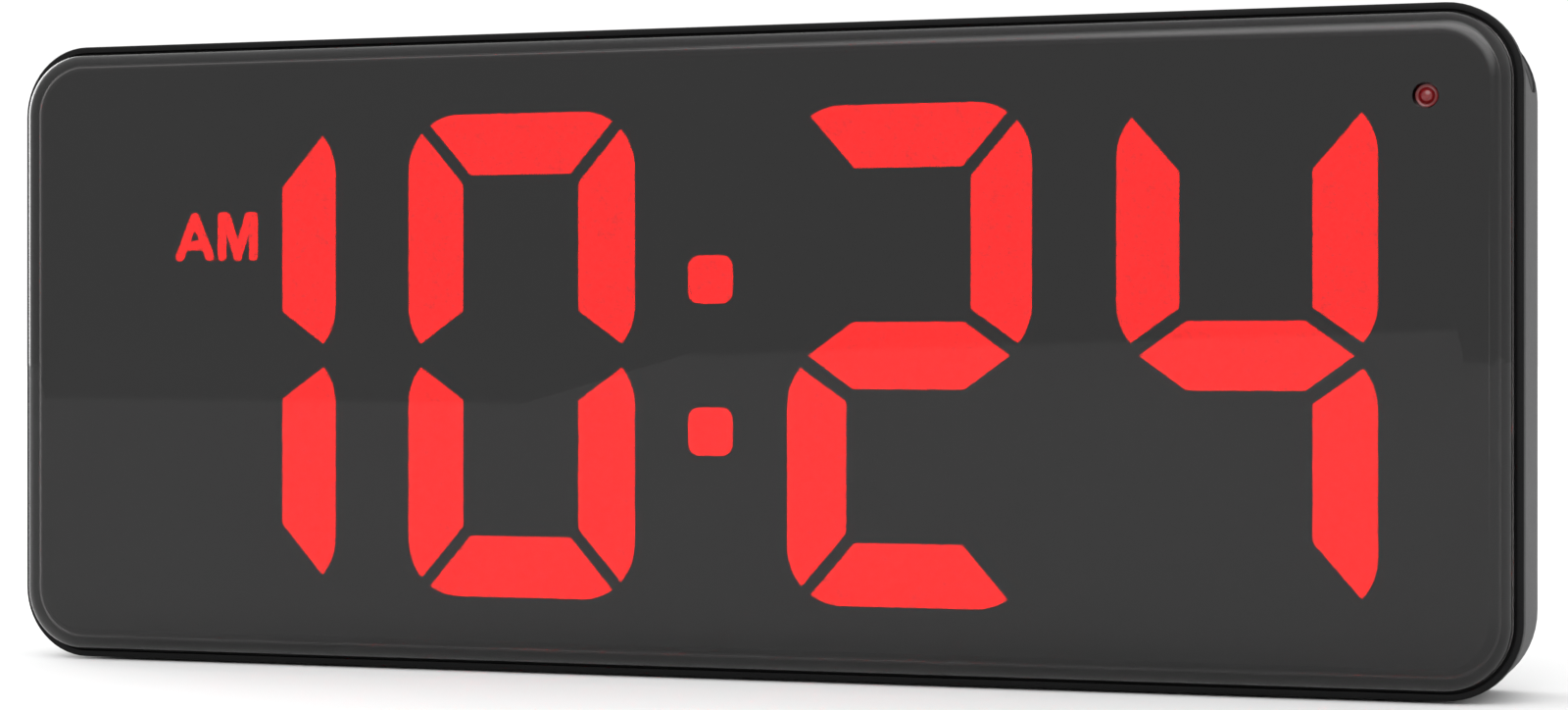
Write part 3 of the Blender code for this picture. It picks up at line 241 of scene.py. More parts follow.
def object_from(name, bm):
    mesh = bpy.data.meshes.new(name)
    bm.to_mesh(mesh)
    bm.free()
    piece = bpy.data.objects.new(name, mesh)
    bpy.context.scene.collection.objects.link(piece)
    return piece


def carve(piece, tool, operation="DIFFERENCE"):
    """Cuts a tool's shape out of a piece, joins it on, or keeps only what is inside it."""
    cutter = object_from("tool", tool)
    modifier = piece.modifiers.new("carve", "BOOLEAN")
    modifier.object = cutter
    modifier.operation = operation
    modifier.solver = "MANIFOLD"
    made = bpy.data.meshes.new_from_object(
        piece.evaluated_get(bpy.context.evaluated_depsgraph_get())
    )
    piece.modifiers.clear()
    piece.data = made
    bpy.data.objects.remove(cutter)


def fit(piece, body, slot, looks, *nodes, angle=32.0):
    """Gives a piece its finish, its body and the plain nodes it stands for."""
    piece.data.materials.clear()
    for look in looks:
        piece.data.materials.append(look)
    piece.data.shade_smooth()
    piece.data.set_sharp_from_angle(angle=math.radians(angle))
    if nodes:
        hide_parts(*nodes)
    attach(piece, body)
    return piece


def surface_group(name, fine, coarse):
    """A shared surface: fine grain, broad handling marks and settled dust, all from the
    object's own coordinates."""
    group = bpy.data.node_groups.new(name, "ShaderNodeTree")
    for label, kind, value in (
        ("Colour", "NodeSocketColor", (0.03, 0.03, 0.03, 1)),
        ("Dust Colour", "NodeSocketColor", (0.2, 0.2, 0.2, 1)),
        ("Roughness", "NodeSocketFloat", 0.5),
        ("Grain Scale", "NodeSocketFloat", fine),
        ("Mark Scale", "NodeSocketFloat", coarse),
        ("Mark Amount", "NodeSocketFloat", 0.1),
        ("Dust Amount", "NodeSocketFloat", 0.1),
    ):
        socket = group.interface.new_socket(label, in_out="INPUT", socket_type=kind)
        socket.default_value = value
    for label, kind in (
        ("Colour", "NodeSocketColor"), ("Roughness", "NodeSocketFloat"),
        ("Height", "NodeSocketFloat"),
    ):
        group.interface.new_socket(label, in_out="OUTPUT", socket_type=kind)
    link = group.links.new
    given = group.nodes.new("NodeGroupInput")
    result = group.nodes.new("NodeGroupOutput")
    place = group.nodes.new("ShaderNodeTexCoord").outputs["Object"]
    grain = add_node(group, "ShaderNodeTexVoronoi")
    grain.feature = "SMOOTH_F1"
    grain.inputs["Smoothness"].default_value = 1.0
    flecks = add_node(group, "ShaderNodeTexNoise", Detail=2.0, Roughness=0.6)
    marks = add_node(group, "ShaderNodeTexNoise", Detail=5.0, Roughness=0.65, Distortion=0.8)
    dust = add_node(group, "ShaderNodeTexNoise", Detail=8.0, Roughness=0.8)
    for node in (grain, flecks, marks, dust):
        link(place, node.inputs["Vector"])
    link(given.outputs["Grain Scale"], grain.inputs["Scale"])
    link(given.outputs["Grain Scale"], flecks.inputs["Scale"])
    link(given.outputs["Mark Scale"], marks.inputs["Scale"])
    link(given.outputs["Mark Scale"], dust.inputs["Scale"])

    def sum_of(operation, first, second):
        node = group.nodes.new("ShaderNodeMath")
        node.operation = operation
        for socket, value in zip(node.inputs, (first, second)):
            if isinstance(value, (int, float)):
                socket.default_value = value
            else:
                link(value, socket)
        return node.outputs["Value"]

    link(sum_of("ADD", grain.outputs["Distance"], flecks.outputs["Fac"]), result.inputs["Height"])
    swing = sum_of("SUBTRACT", marks.outputs["Fac"], 0.5)
    swing = sum_of("MULTIPLY", swing, given.outputs["Mark Amount"])
    speck = sum_of("SUBTRACT", flecks.outputs["Fac"], 0.5)
    speck = sum_of("MULTIPLY", speck, 0.08)
    rough = sum_of("ADD", given.outputs["Roughness"], swing)
    link(sum_of("ADD", rough, speck), result.inputs["Roughness"])
    # Dust settles on what faces up
    facing = group.nodes.new("ShaderNodeNewGeometry").outputs["Normal"]
    split = group.nodes.new("ShaderNodeSeparateXYZ")
    link(facing, split.inputs["Vector"])
    upward = sum_of("MAXIMUM", split.outputs["Z"], 0.0)
    patch = group.nodes.new("ShaderNodeMapRange")
    patch.inputs["From Min"].default_value = 0.35
    patch.inputs["From Max"].default_value = 0.75
    link(dust.outputs["Fac"], patch.inputs["Value"])
    settled = sum_of("MULTIPLY", upward, patch.outputs["Result"])
    settled = sum_of("MULTIPLY", settled, given.outputs["Dust Amount"])
    shade = group.nodes.new("ShaderNodeMix")
    shade.data_type = "RGBA"
    shade.blend_type = "MULTIPLY"
    shade.inputs["Factor"].default_value = 1.0
    link(given.outputs["Colour"], shade.inputs["A"])
    tone = group.nodes.new("ShaderNodeMapRange")
    tone.inputs["To Min"].default_value = 0.82
    tone.inputs["To Max"].default_value = 1.18
    link(marks.outputs["Fac"], tone.inputs["Value"])
    link(tone.outputs["Result"], shade.inputs["B"])
    dusted = group.nodes.new("ShaderNodeMix")
    dusted.data_type = "RGBA"
    link(settled, dusted.inputs["Factor"])
    link(shade.outputs["Result"], dusted.inputs["A"])
    link(given.outputs["Dust Colour"], dusted.inputs["B"])
    link(dusted.outputs["Result"], result.inputs["Colour"])
    return group


moulded_surface = surface_group("moulded_surface", 2600.0, 28.0)


def moulding(name, colour, roughness, grain=2600.0, depth=0.02, marks=0.1, dust=0.08,
             mark_scale=28.0, metallic=0.0, specular=0.5):
    """A solid finish: plastic, rubber, metal or lacquer, with its grain as a fine bump."""
    look = bpy.data.materials.new(name)
    look.use_nodes = True
    tree = look.node_tree
    shader = tree.nodes["Principled BSDF"]
    shader.inputs["Metallic"].default_value = metallic
    shader.inputs["Specular IOR Level"].default_value = specular
    surface = tree.nodes.new("ShaderNodeGroup")
    surface.node_tree = moulded_surface
    for label, value in (
        ("Colour", (*colour, 1)), ("Roughness", roughness), ("Grain Scale", grain),
        ("Mark Scale", mark_scale), ("Mark Amount", marks), ("Dust Amount", dust),
    ):
        surface.inputs[label].default_value = value
    bump = tree.nodes.new("ShaderNodeBump")
    bump.inputs["Strength"].default_value = 0.6
    bump.inputs["Distance"].default_value = depth * MM
    tree.links.new(surface.outputs["Height"], bump.inputs["Height"])
    tree.links.new(surface.outputs["Colour"], shader.inputs["Base Color"])
    tree.links.new(surface.outputs["Roughness"], shader.inputs["Roughness"])
    tree.links.new(bump.outputs["Normal"], shader.inputs["Normal"])
    return look


RIM_FACE = -12.7 * MM
RIM_BACK = -11.1 * MM
LEDGE_FACE = -11.7 * MM
LEDGE_BACK = -10.0 * MM
frame_sections = []
for step in range(5):
    turn = math.radians(90 * step / 4)
    frame_sections.append(case_section(
        0.3 * MM * (1 - math.sin(turn)), RIM_FACE + 0.3 * MM * (1 - math.cos(turn)), FRAME_CORNER
    ))
frame_sections.append(case_section(0.0, RIM_BACK, FRAME_CORNER))
for inset, y in (
    (2.9, -11.08), (2.9, -7.8), (4.4, -7.78), (4.4, -10.0), (9.0, -10.02), (9.0, -11.7),
):
    frame_sections.append(case_section(inset * MM, y * MM, HOUSING_CORNER))
frame_sections.append(case_section(1.05 * MM, LEDGE_FACE + 0.02 * MM, FRAME_CORNER))
for step in range(4):
    turn = math.radians(90 * step / 3)
    frame_sections.append(case_section(
        1.05 * MM - 0.12 * MM * (1 - math.cos(turn)),
        RIM_FACE + 0.01 * MM + 0.12 * MM * (1 - math.sin(turn)), FRAME_CORNER,
    ))
front_frame = object_from("front_frame_moulding", loft(frame_sections, ring=True))
SCREW_PLACES = [(side * 113.5 * MM, z) for side in (-1, 1) for z in (30.2 * MM, 72.2 * MM)]
posts = bmesh.new()
for x, z in SCREW_PLACES:
    outward = sorted((x, math.copysign(118.0 * MM, x)))
    ledge = (LEDGE_FACE + 0.1 * MM, LEDGE_BACK - 0.1 * MM)
    slab(outward, ledge, (z - 3 * MM, z + 3 * MM), into=posts)
carve(front_frame, posts, "UNION")
posts = bmesh.new()
for x, z in SCREW_PLACES:
    rod((x, z), 2.8 * MM, (LEDGE_FACE + 0.2 * MM, 13.3 * MM), into=posts)
carve(front_frame, posts, "UNION")
pilots = bmesh.new()
for x, z in SCREW_PLACES:
    rod((x, z), 1.35 * MM, (4.6 * MM, 16.0 * MM), steps=32, into=pilots)
carve(front_frame, pilots)
frame_black = moulding("frame_black", (0.004, 0.004, 0.0042), 0.42, grain=2400.0, depth=0.012,
                       dust=0.02, specular=0.10)
fit(front_frame, "case", "frame_plastic", [frame_black], "front_frame")


# Front lens: one moulding of smoke-tinted acrylic with a softly rounded edge all round. It is
# polished, so that only what is lit behind it shows through. A foam strip holds it to the ledge.
def lens_sections(inset, seat, skirt, width, rise):
    sections = [case_section(inset, seat, FRAME_CORNER)]
    for step in range(15):
        turn = math.radians(90 * step / 14)
        sections.append(case_section(
            inset + width * (1 - math.cos(turn)), skirt - rise * math.sin(turn), FRAME_CORNER
        ))
    return sections


LENS_SEAT = -12.0 * MM
outer_skin = lens_sections(1.45 * MM, LENS_SEAT, -13.6 * MM, 3.0 * MM, 2.4 * MM)
inner_skin = lens_sections(3.45 * MM, LENS_SEAT, -13.0 * MM, 1.3 * MM, 1.0 * MM)
front_lens = object_from(
    "smoke_lens", loft(list(reversed(inner_skin)) + outer_skin, segments=20)
)
SENSOR_PLACE = (112.4 * MM, 88.3 * MM)
carve(front_lens, rod(SENSOR_PLACE, 1.95 * MM, (-17 * MM, -13 * MM), steps=64))
smoke_acrylic = bpy.data.materials.new("smoke_acrylic")
smoke_acrylic.use_nodes = True
smoke_tree = smoke_acrylic.node_tree
smoke_shader = smoke_tree.nodes["Principled BSDF"]
smoke_shader.inputs["Transmission Weight"].default_value = 1.0
smoke_shader.inputs["IOR"].default_value = 1.45
smoke_place = smoke_tree.nodes.new("ShaderNodeTexCoord")
wiped_marks = add_node(smoke_tree, "ShaderNodeTexNoise", Scale=18.0, Detail=1.0)
polish_range = add_node(smoke_tree, "ShaderNodeMapRange")
polish_range.inputs["To Min"].default_value = 0.016
polish_range.inputs["To Max"].default_value = 0.026
smoke_tint = smoke_tree.nodes.new("ShaderNodeMix")
smoke_tint.data_type = "RGBA"
smoke_tint.inputs["A"].default_value = (0.0795, 0.076, 0.076, 1)
smoke_tint.inputs["B"].default_value = (0.0805, 0.077, 0.077, 1)
smoke_wave = add_node(smoke_tree, "ShaderNodeTexNoise", Scale=14.0, Detail=1.0)
smoke_bump = smoke_tree.nodes.new("ShaderNodeBump")
smoke_bump.inputs["Strength"].default_value = 0.05
smoke_bump.inputs["Distance"].default_value = 0.02 * MM
smoke_tree.links.new(smoke_place.outputs["Object"], wiped_marks.inputs["Vector"])
smoke_tree.links.new(smoke_place.outputs["Object"], smoke_wave.inputs["Vector"])
smoke_tree.links.new(wiped_marks.outputs["Fac"], polish_range.inputs["Value"])
smoke_tree.links.new(wiped_marks.outputs["Fac"], smoke_tint.inputs["Factor"])
smoke_tree.links.new(smoke_wave.outputs["Fac"], smoke_bump.inputs["Height"])
smoke_tree.links.new(smoke_tint.outputs["Result"], smoke_shader.inputs["Base Color"])
smoke_tree.links.new(polish_range.outputs["Result"], smoke_shader.inputs["Roughness"])
smoke_tree.links.new(smoke_bump.outputs["Normal"], smoke_shader.inputs["Normal"])
fit(front_lens, "case", "tinted_lens", [smoke_acrylic], "front_lens", angle=50)


def refinish(look, *names):
    """Gives plain nodes whose shape is already right their finish."""
    for name in names:
        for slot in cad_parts[name].material_slots:
            slot.material = look


refinish(
    moulding("adhesive_strip", (0.008, 0.008, 0.008), 0.85, grain=1500.0, depth=0.08),
    "lens_adhesive",
)


# Light sensor: a small dark-red dome of clear plastic in its own hole at the upper right of the
# lens, with a flange behind the lens and a light cell on the display board behind it.
dome = [(0.0, -15.6 * MM)]
for step in range(1, 9):
    turn = math.radians(70 * step / 8)
    dome.append((1.02 * MM * math.sin(turn) / math.sin(math.radians(70)),
                 -14.98 * MM - 0.62 * MM * math.cos(turn)))
dome += [(1.12 * MM, -15.02 * MM), (1.3 * MM, -14.94 * MM), (1.5 * MM, -14.98 * MM),
         (1.65 * MM, -15.1 * MM)]
dome += [
    (1.65 * MM, -13.7 * MM), (2.65 * MM, -13.7 * MM), (2.65 * MM, -13.0 * MM), (0.0, -13.0 * MM),
]
sensor_dome = object_from("sensor_dome", turned(SENSOR_PLACE, dome))
ruby_plastic = moulding("ruby_plastic", (0.15, 0.006, 0.008), 0.10, grain=900.0, depth=0.002,
                        marks=0.03, dust=0.0)
ruby_plastic.node_tree.nodes["Principled BSDF"].inputs["Subsurface Weight"].default_value = 0.35
ruby_plastic.node_tree.nodes["Principled BSDF"].inputs["Subsurface Scale"].default_value = 0.001
fit(sensor_dome, "case", "sensor_window", [ruby_plastic], "sensor_window", angle=40)
refinish(moulding("cell_grey", (0.25, 0.25, 0.27), 0.3, depth=0.004, dust=0.0), "light_sensor")


# Display: four digits, a colon and two legends, each a black-printed film with clear red windows
# over a deep black reflector. Lamps behind fill every lit window evenly to its edge.
DIGIT_WIDTH = 39.7 * MM
DIGIT_HEIGHT = 76.9 * MM
DIGIT_ROUND = 9.0 * MM
STROKE = 9.7 * MM
MIDDLE_STROKE = 10.3 * MM
DIGIT_Z = 50.6 * MM
WINDOW_FACE = -13.72 * MM
WINDOW_BACK = -13.5 * MM
FILM_FACE = -13.6 * MM
FILM_BACK = -13.3 * MM


def rounded_sheet(x, z, radius, segments=16):
    """A flat rounded rectangle, one face, in the window plane."""
    bm = bmesh.new()
    corners = [
        bm.verts.new(place) for place in (
            (x[0], WINDOW_FACE, z[0]), (x[1], WINDOW_FACE, z[0]),
            (x[1], WINDOW_FACE, z[1]), (x[0], WINDOW_FACE, z[1]),
        )
    ]
    bm.faces.new(corners)
    bmesh.ops.bevel(
        bm, geom=corners, offset=radius, offset_type="OFFSET", affect="VERTICES",
        segments=segments, profile=0.5, material=-1,
    )
    return bm


def trim_line(bm, start, end):
    """Cuts the sheet along a line and drops what lies to the line's right."""
    along = Vector((end[0] - start[0], 0, end[1] - start[1])).normalized()
    right = Vector((along.z, 0, -along.x))
    bmesh.ops.bisect_plane(
        bm, geom=bm.verts[:] + bm.edges[:] + bm.faces[:], dist=1e-7,
        plane_co=(start[0], 0, start[1]), plane_no=right, clear_outer=True,
    )
    return bm


def window_sheets():
    """The seven windows of a digit about its own middle, by their usual letters."""
    a, b, r = DIGIT_WIDTH / 2, DIGIT_HEIGHT / 2, DIGIT_ROUND
    gap = 2.0 * MM
    inner = 0.7 * gap
    mitre = math.radians(180 - 131)
    half_gap = gap / 2 / r

    def on_corner(angle):
        return a - r + r * math.cos(angle), b - r + r * math.sin(angle)

    tip_x, tip_z = 2.2 * MM, 1.9 * MM
    rise = (STROKE - tip_x) * math.tan(math.radians(34.7))
    top = rounded_sheet((-a, a), (-b, b), r)
    trim_line(top, (-a, b - STROKE), (a, b - STROKE))
    over = on_corner(mitre + half_gap)
    trim_line(top, (a - STROKE - inner, b - STROKE), over)
    trim_line(top, (-over[0], over[1]), (-a + STROKE + inner, b - STROKE))
    waist = math.acos((r - tip_x) / r)
    waist_z = tip_z + r * math.sin(waist)
    upper = rounded_sheet((-a, a), (waist_z - r, b), r)
    trim_line(upper, (a - STROKE, b), (a - STROKE, 0))
    under = on_corner(mitre - half_gap)
    trim_line(upper, under, (a - STROKE, b - STROKE - inner))
    trim_line(upper, (a - STROKE, tip_z + rise), (a - tip_x, tip_z))
    half = MIDDLE_STROKE / 2
    point = tip_x + 1.3 * MM
    slope = point + half / math.tan(math.radians(35.2))
    middle = rounded_sheet((-a, a), (-half, half), 0.01 * MM, segments=1)
    for side_x in (-1, 1):
        for side_z in (-1, 1):
            tip = (side_x * (a - point), 0.0)
            shoulder = (side_x * (a - slope), side_z * half)
            ends = (tip, shoulder) if side_x * side_z > 0 else (shoulder, tip)
            trim_line(middle, *ends)
    return top, upper, middle


def add_solid(target, solid, look):
    for face in solid.faces:
        face.material_index = look
    scratch = bpy.data.meshes.new("scratch")
    solid.to_mesh(scratch)
    solid.free()
    target.from_mesh(scratch)
    bpy.data.meshes.remove(scratch)


def place_sheet(target, sheet, flip_x, flip_z, centre_x, look):
    """Copies a window into a display piece, mirrored where needed, as a thin solid."""
    copy = sheet.copy()
    place = Matrix.Translation((centre_x, 0, DIGIT_Z))
    mirror = Matrix.Diagonal((flip_x, 1, flip_z, 1))
    bmesh.ops.transform(copy, matrix=place @ mirror, verts=copy.verts)
    bmesh.ops.recalc_face_normals(copy, faces=copy.faces)
    grown = bmesh.ops.extrude_face_region(copy, geom=copy.faces[:])
    rear = [item for item in grown["geom"] if isinstance(item, bmesh.types.BMVert)]
    bmesh.ops.translate(copy, vec=(0, WINDOW_BACK - WINDOW_FACE, 0), verts=rear)
    bmesh.ops.recalc_face_normals(copy, faces=copy.faces)
    add_solid(target, copy, look)


def glowing(name, strength):
    """A lit window: clear red diffuser, evenly bright, with a faint moulded fleck."""
    look = bpy.data.materials.new(name)
    look.use_nodes = True
    tree = look.node_tree
    shader = tree.nodes["Principled BSDF"]
    shader.inputs["Base Color"].default_value = (0.25, 0.01, 0.01, 1)
    shader.inputs["Roughness"].default_value = 0.5
    shader.inputs["Emission Strength"].default_value = strength
    place = tree.nodes.new("ShaderNodeTexCoord")
    fleck = add_node(tree, "ShaderNodeTexNoise", Scale=900.0, Detail=2.0)
    tint = tree.nodes.new("ShaderNodeMix")
    tint.data_type = "RGBA"
    tint.inputs["A"].default_value = (0.97, 0.0, 0.0, 1)
    tint.inputs["B"].default_value = (1.0, 0.004, 0.004, 1)
    tree.links.new(place.outputs["Object"], fleck.inputs["Vector"])
    tree.links.new(fleck.outputs["Fac"], tint.inputs["Factor"])
    tree.links.new(tint.outputs["Result"], shader.inputs["Emission Color"])
    return look


film_print = moulding("film_print", (0.004, 0.004, 0.004), 0.7, depth=0.003, dust=0.0)
window_lit = glowing("window_lit", 200.0)
window_lit.cycles.emission_sampling = "NONE"
window_dark = moulding("window_dark", (0.0045, 0.004, 0.004), 0.7, depth=0.003, dust=0.0)
top_sheet, upper_sheet, middle_sheet = window_sheets()
windows = {
    "a": (top_sheet, 1, 1), "b": (upper_sheet, 1, 1), "c": (upper_sheet, 1, -1),
    "d": (top_sheet, 1, -1), "e": (upper_sheet, -1, -1), "f": (upper_sheet, -1, 1),
    "g": (middle_sheet, 1, 1),
}


def display_film(group, fill):
    """The printed film of one group, the size of its plain node, with windows added by fill."""
    low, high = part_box(group + "_diffuser")
    bm = slab((low.x, high.x), (FILM_FACE, FILM_BACK), (low.z, high.z), radius=0.6 * MM)
    fill(bm)
    film = object_from(group + "_film", bm)
    film.visible_diffuse = False
    marks = [face.material_index for face in film.data.polygons]
    fit(film, "case", "segment_red", [film_print, window_lit, window_dark], group + "_diffuser")
    for face, mark in zip(film.data.polygons, marks):
        face.material_index = mark


FILM_EDGE = 1.2 * MM


def middle_x(group):
    low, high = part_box(group + "_diffuser")
    return (low.x + high.x) / 2


def digit(group, shown, present="abcdefg"):
    """The windows of one digit, set in from the right end of its plain node."""
    centre_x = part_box(group + "_diffuser")[1].x - FILM_EDGE - DIGIT_WIDTH / 2

    def fill(bm):
        for letter in present:
            window, flip_x, flip_z = windows[letter]
            place_sheet(bm, window, flip_x, flip_z, centre_x, 1 if letter in shown else 2)
    display_film(group, fill)


digit("hour_tens", "bc", present="bc")
digit("hour_units", "abcdef")
digit("minute_tens", "abged")
digit("minute_units", "fgbc")
for sheet in (top_sheet, upper_sheet, middle_sheet):
    sheet.free()


def colon_dots(bm):
    for side in (-1, 1):
        middle = side * 11.85 * MM
        dot = rounded_sheet(
            (-3.75 * MM, 3.75 * MM), (middle - 3.75 * MM, middle + 3.75 * MM), 1.9 * MM
        )
        place_sheet(bm, dot, 1, 1, middle_x("colon"), 1)
        dot.free()


display_film("colon", colon_dots)


def legend_letters(text):
    """The strokes of two round-ended letters, joined to one flat sheet about their own middle."""
    strokes = {
        "A": (
            ((-4.08, 3.2), (-6.85, -3.2)), ((-4.08, 3.2), (-1.33, -3.2)),
            ((-5.9, -1.4), (-2.3, -1.4)),
        ),
        "M": (
            ((1.03, 3.2), (1.03, -3.2)), ((1.85, 3.2), (3.95, -3.2)), ((3.95, -3.2), (6.05, 3.2)),
            ((6.87, 3.2), (6.87, -3.2)), ((1.03, 3.2), (1.85, 3.2)), ((6.05, 3.2), (6.87, 3.2)),
        ),
        "P": (
            ((-5.9, 3.2), (-5.9, -3.2)), ((-5.9, 3.2), (-3.2, 3.2)), ((-3.2, 3.2), (-2.2, 2.2)),
            ((-2.2, 2.2), (-2.2, 1.0)), ((-2.2, 1.0), (-3.2, 0.0)), ((-3.2, 0.0), (-5.9, 0.0)),
        ),
    }
    sheet = None
    for start, end in [stroke for letter in text for stroke in strokes[letter]]:
        along = Vector((end[0] - start[0], 0, end[1] - start[1])) * MM
        half = 0.79 * MM
        bm = slab((-half, along.length + half), (WINDOW_FACE, WINDOW_BACK), (-half, half),
                  0.999 * half, segments=8)
        middle = Matrix.Translation((start[0] * MM, 0, start[1] * MM))
        turn = Matrix.Rotation(-math.atan2(along.z, along.x), 4, "Y")
        bmesh.ops.transform(bm, matrix=middle @ turn, verts=bm.verts)
        if sheet is None:
            sheet = object_from("letters", bm)
        else:
            carve(sheet, bm, "UNION")
    bm = bmesh.new()
    bm.from_mesh(sheet.data)
    bpy.data.objects.remove(sheet)
    return bm


def legends(bm):
    for text, z, look in (("AM", 70.05, 1), ("PM", 54.05, 2)):
        letters = legend_letters(text)
        bmesh.ops.translate(letters, vec=(middle_x("am_pm"), 0, z * MM), verts=letters.verts)
        add_solid(bm, letters, look)


display_film("am_pm", legends)
refinish(
    moulding("reflector_black", (0.006, 0.006, 0.006), 0.5, depth=0.01, dust=0.0),
    "hour_tens_reflector", "hour_units_reflector", "minute_tens_reflector",
    "minute_units_reflector", "colon_reflector", "am_pm_reflector",
)


# Boards and what is soldered to them: glass-cloth laminate under a green solder mask, black
# moulded chips, plugs, switches and buzzer, and plated steel cans, leaves and pins.
def solder_mask(name):
    look = moulding(name, (0.012, 0.10, 0.04), 0.32, grain=1800.0, depth=0.006, dust=0.0)
    tree = look.node_tree
    shader = tree.nodes["Principled BSDF"]
    surface = next(node for node in tree.nodes if node.type == "GROUP")
    weave = add_node(tree, "ShaderNodeTexWave", Scale=900.0, Distortion=1.5)
    place = tree.nodes.new("ShaderNodeTexCoord")
    copper = tree.nodes.new("ShaderNodeTexBrick")
    copper.inputs["Scale"].default_value = 60.0
    copper.inputs["Mortar Size"].default_value = 0.03
    tint = tree.nodes.new("ShaderNodeMix")
    tint.data_type = "RGBA"
    tint.inputs["B"].default_value = (0.03, 0.16, 0.07, 1)
    turn = tree.nodes.new("ShaderNodeMapping")
    turn.inputs["Rotation"].default_value = (math.pi / 2, 0, 0)
    tree.links.new(place.outputs["Object"], turn.inputs["Vector"])
    tree.links.new(turn.outputs["Vector"], copper.inputs["Vector"])
    tree.links.new(place.outputs["Object"], weave.inputs["Vector"])
    tree.links.new(copper.outputs["Fac"], tint.inputs["Factor"])
    tree.links.new(surface.outputs["Colour"], tint.inputs["A"])
    tree.links.new(tint.outputs["Result"], shader.inputs["Base Color"])
    return look


refinish(solder_mask("solder_mask"), "display_board", "control_board")
part_black = moulding("part_black", (0.018, 0.018, 0.019), 0.5, grain=3200.0, depth=0.008, dust=0.0)
refinish(
    part_black, "microcontroller", "led_driver", "board_connector", "buzzer", "battery_holder",
    "time_switch", "alarm_switch", "up_switch", "down_switch", "snooze_switch",
)
plated_steel = moulding("plated_steel", (0.56, 0.55, 0.53), 0.28, grain=700.0, depth=0.002,
                        marks=0.25, dust=0.0, mark_scale=90.0, metallic=1.0)
refinish(
    plated_steel, "crystal", "coin_cell", "negative_contact", "positive_contact", "jack_pin",
    "slide_switch", "stand_pin",
)


# Rear housing: the deep black moulding that closes the case, with drafted sides, a tapered back,
# a flat base and a fine spark-textured surface. Four screws draw it onto the front frame.
HOUSING_FRONT = -10.8 * MM
BACK = 16.0 * MM
WALL = 2.4 * MM
DRAFT = math.radians(4)
TAPER = math.radians(22)


def housing_inset(y):
    return 0.15 * MM + (y - HOUSING_FRONT) * math.tan(DRAFT)


def housing_path():
    """The side of the case as (inset, y): drafted, a round shoulder, a taper, a round edge."""
    path = [(0.15 * MM, HOUSING_FRONT)]
    path.append((housing_inset(3.0 * MM), 3.0 * MM))
    inset, y = path[-1]
    for step in range(1, 9):
        angle = DRAFT + (TAPER - DRAFT) * step / 8
        path.append((
            inset + 12 * MM * (math.cos(DRAFT) - math.cos(angle)),
            y + 12 * MM * (math.sin(angle) - math.sin(DRAFT)),
        ))
    inset, y = path[-1]
    straight = BACK - y - 4 * MM * (1 - math.sin(TAPER))
    inset, y = inset + straight * math.tan(TAPER), y + straight
    path.append((inset, y))
    for step in range(1, 11):
        angle = TAPER + (math.pi / 2 - TAPER) * step / 10
        path.append((
            inset + 4 * MM * (math.cos(TAPER) - math.cos(angle)),
            y + 4 * MM * (math.sin(angle) - math.sin(TAPER)),
        ))
    return path


def base_inset(y):
    across = min(max(y - (BACK - 4 * MM), 0.0) / (4 * MM), 1.0)
    return 4 * MM * (1 - math.sqrt(1 - across * across))


outer_wall = [case_section(inset, y, HOUSING_CORNER, base_inset(y)) for inset, y in housing_path()]
inner_wall = []
for inset, y in housing_path()[:-6]:
    depth = min(y, BACK - WALL)
    inner_wall.append(case_section(inset + WALL, depth, HOUSING_CORNER, WALL))
    if y > BACK - WALL:
        break
if inner_wall[-1][3] < BACK - WALL:
    last = inner_wall[-1]
    inner_wall.append((last[0], last[1], last[2], BACK - WALL))
housing = object_from("rear_housing_moulding", loft(list(reversed(inner_wall)) + outer_wall))


def carve_all(piece, *tools):
    for tool in tools:
        carve(piece, tool)


bosses = slab((-25.5 * MM, 25.5 * MM), (10.1 * MM, 14.8 * MM), (3.1 * MM, 63.8 * MM))
slab((42.4 * MM, 80.6 * MM), (6.4 * MM, 14.8 * MM), (42.6 * MM, 75.8 * MM), into=bosses)
carve(housing, bosses, "UNION")
# Stand pocket with its notch and bores, battery well with its cover's recess, button panel
notch = rod((22 * MM, 14 * MM), 6 * MM, (13.8 * MM, 17 * MM), steps=64)
stand_pocket = slab((-22.3 * MM, 22.3 * MM), (11.7 * MM, 17 * MM), (4.7 * MM, 62.2 * MM))
well = slab((51.7 * MM, 76.3 * MM), (8.0 * MM, 17 * MM), (46.9 * MM, 71.5 * MM))
cover_recess = slab((43.7 * MM, 79.3 * MM), (14.4 * MM, 17 * MM), (43.9 * MM, 74.5 * MM), 1.2 * MM)
panel = slab(
    (-94.6 * MM, -28.4 * MM), (15.2 * MM, 17 * MM), (73.4 * MM, 86.6 * MM), 5 * MM, segments=14
)
carve_all(housing, notch, stand_pocket, well, cover_recess, panel)
carve(housing, rod((13.9 * MM, 60 * MM), 1.3 * MM, (-24.7 * MM, 24.7 * MM), axis="X"))
# Holes through the back: buttons, slider, jack, sound holes, screws, keyholes
through = (12.0 * MM, 17.0 * MM)
BUTTON_PLACES = {"time": -74 * MM, "alarm": -61 * MM, "up": -48 * MM, "down": -35 * MM}
BUTTON_Z = 80 * MM
holes = bmesh.new()
for x in BUTTON_PLACES.values():
    rod((x, BUTTON_Z), 3.9 * MM, through, into=holes)
slab((-91.9 * MM, -85.1 * MM), through, (78.5 * MM, 81.5 * MM), 0.3 * MM, segments=4, into=holes)
rod((74 * MM, 26.4 * MM), 4.5 * MM, through, into=holes)
rod((34 * MM, 78 * MM), 0.9 * MM, through, steps=24, into=holes)
for number in range(6):
    turn = math.radians(60 * number)
    spot = (34 * MM + 3.4 * MM * math.cos(turn), 78 * MM + 3.4 * MM * math.sin(turn))
    rod(spot, 0.9 * MM, through, steps=24, into=holes)
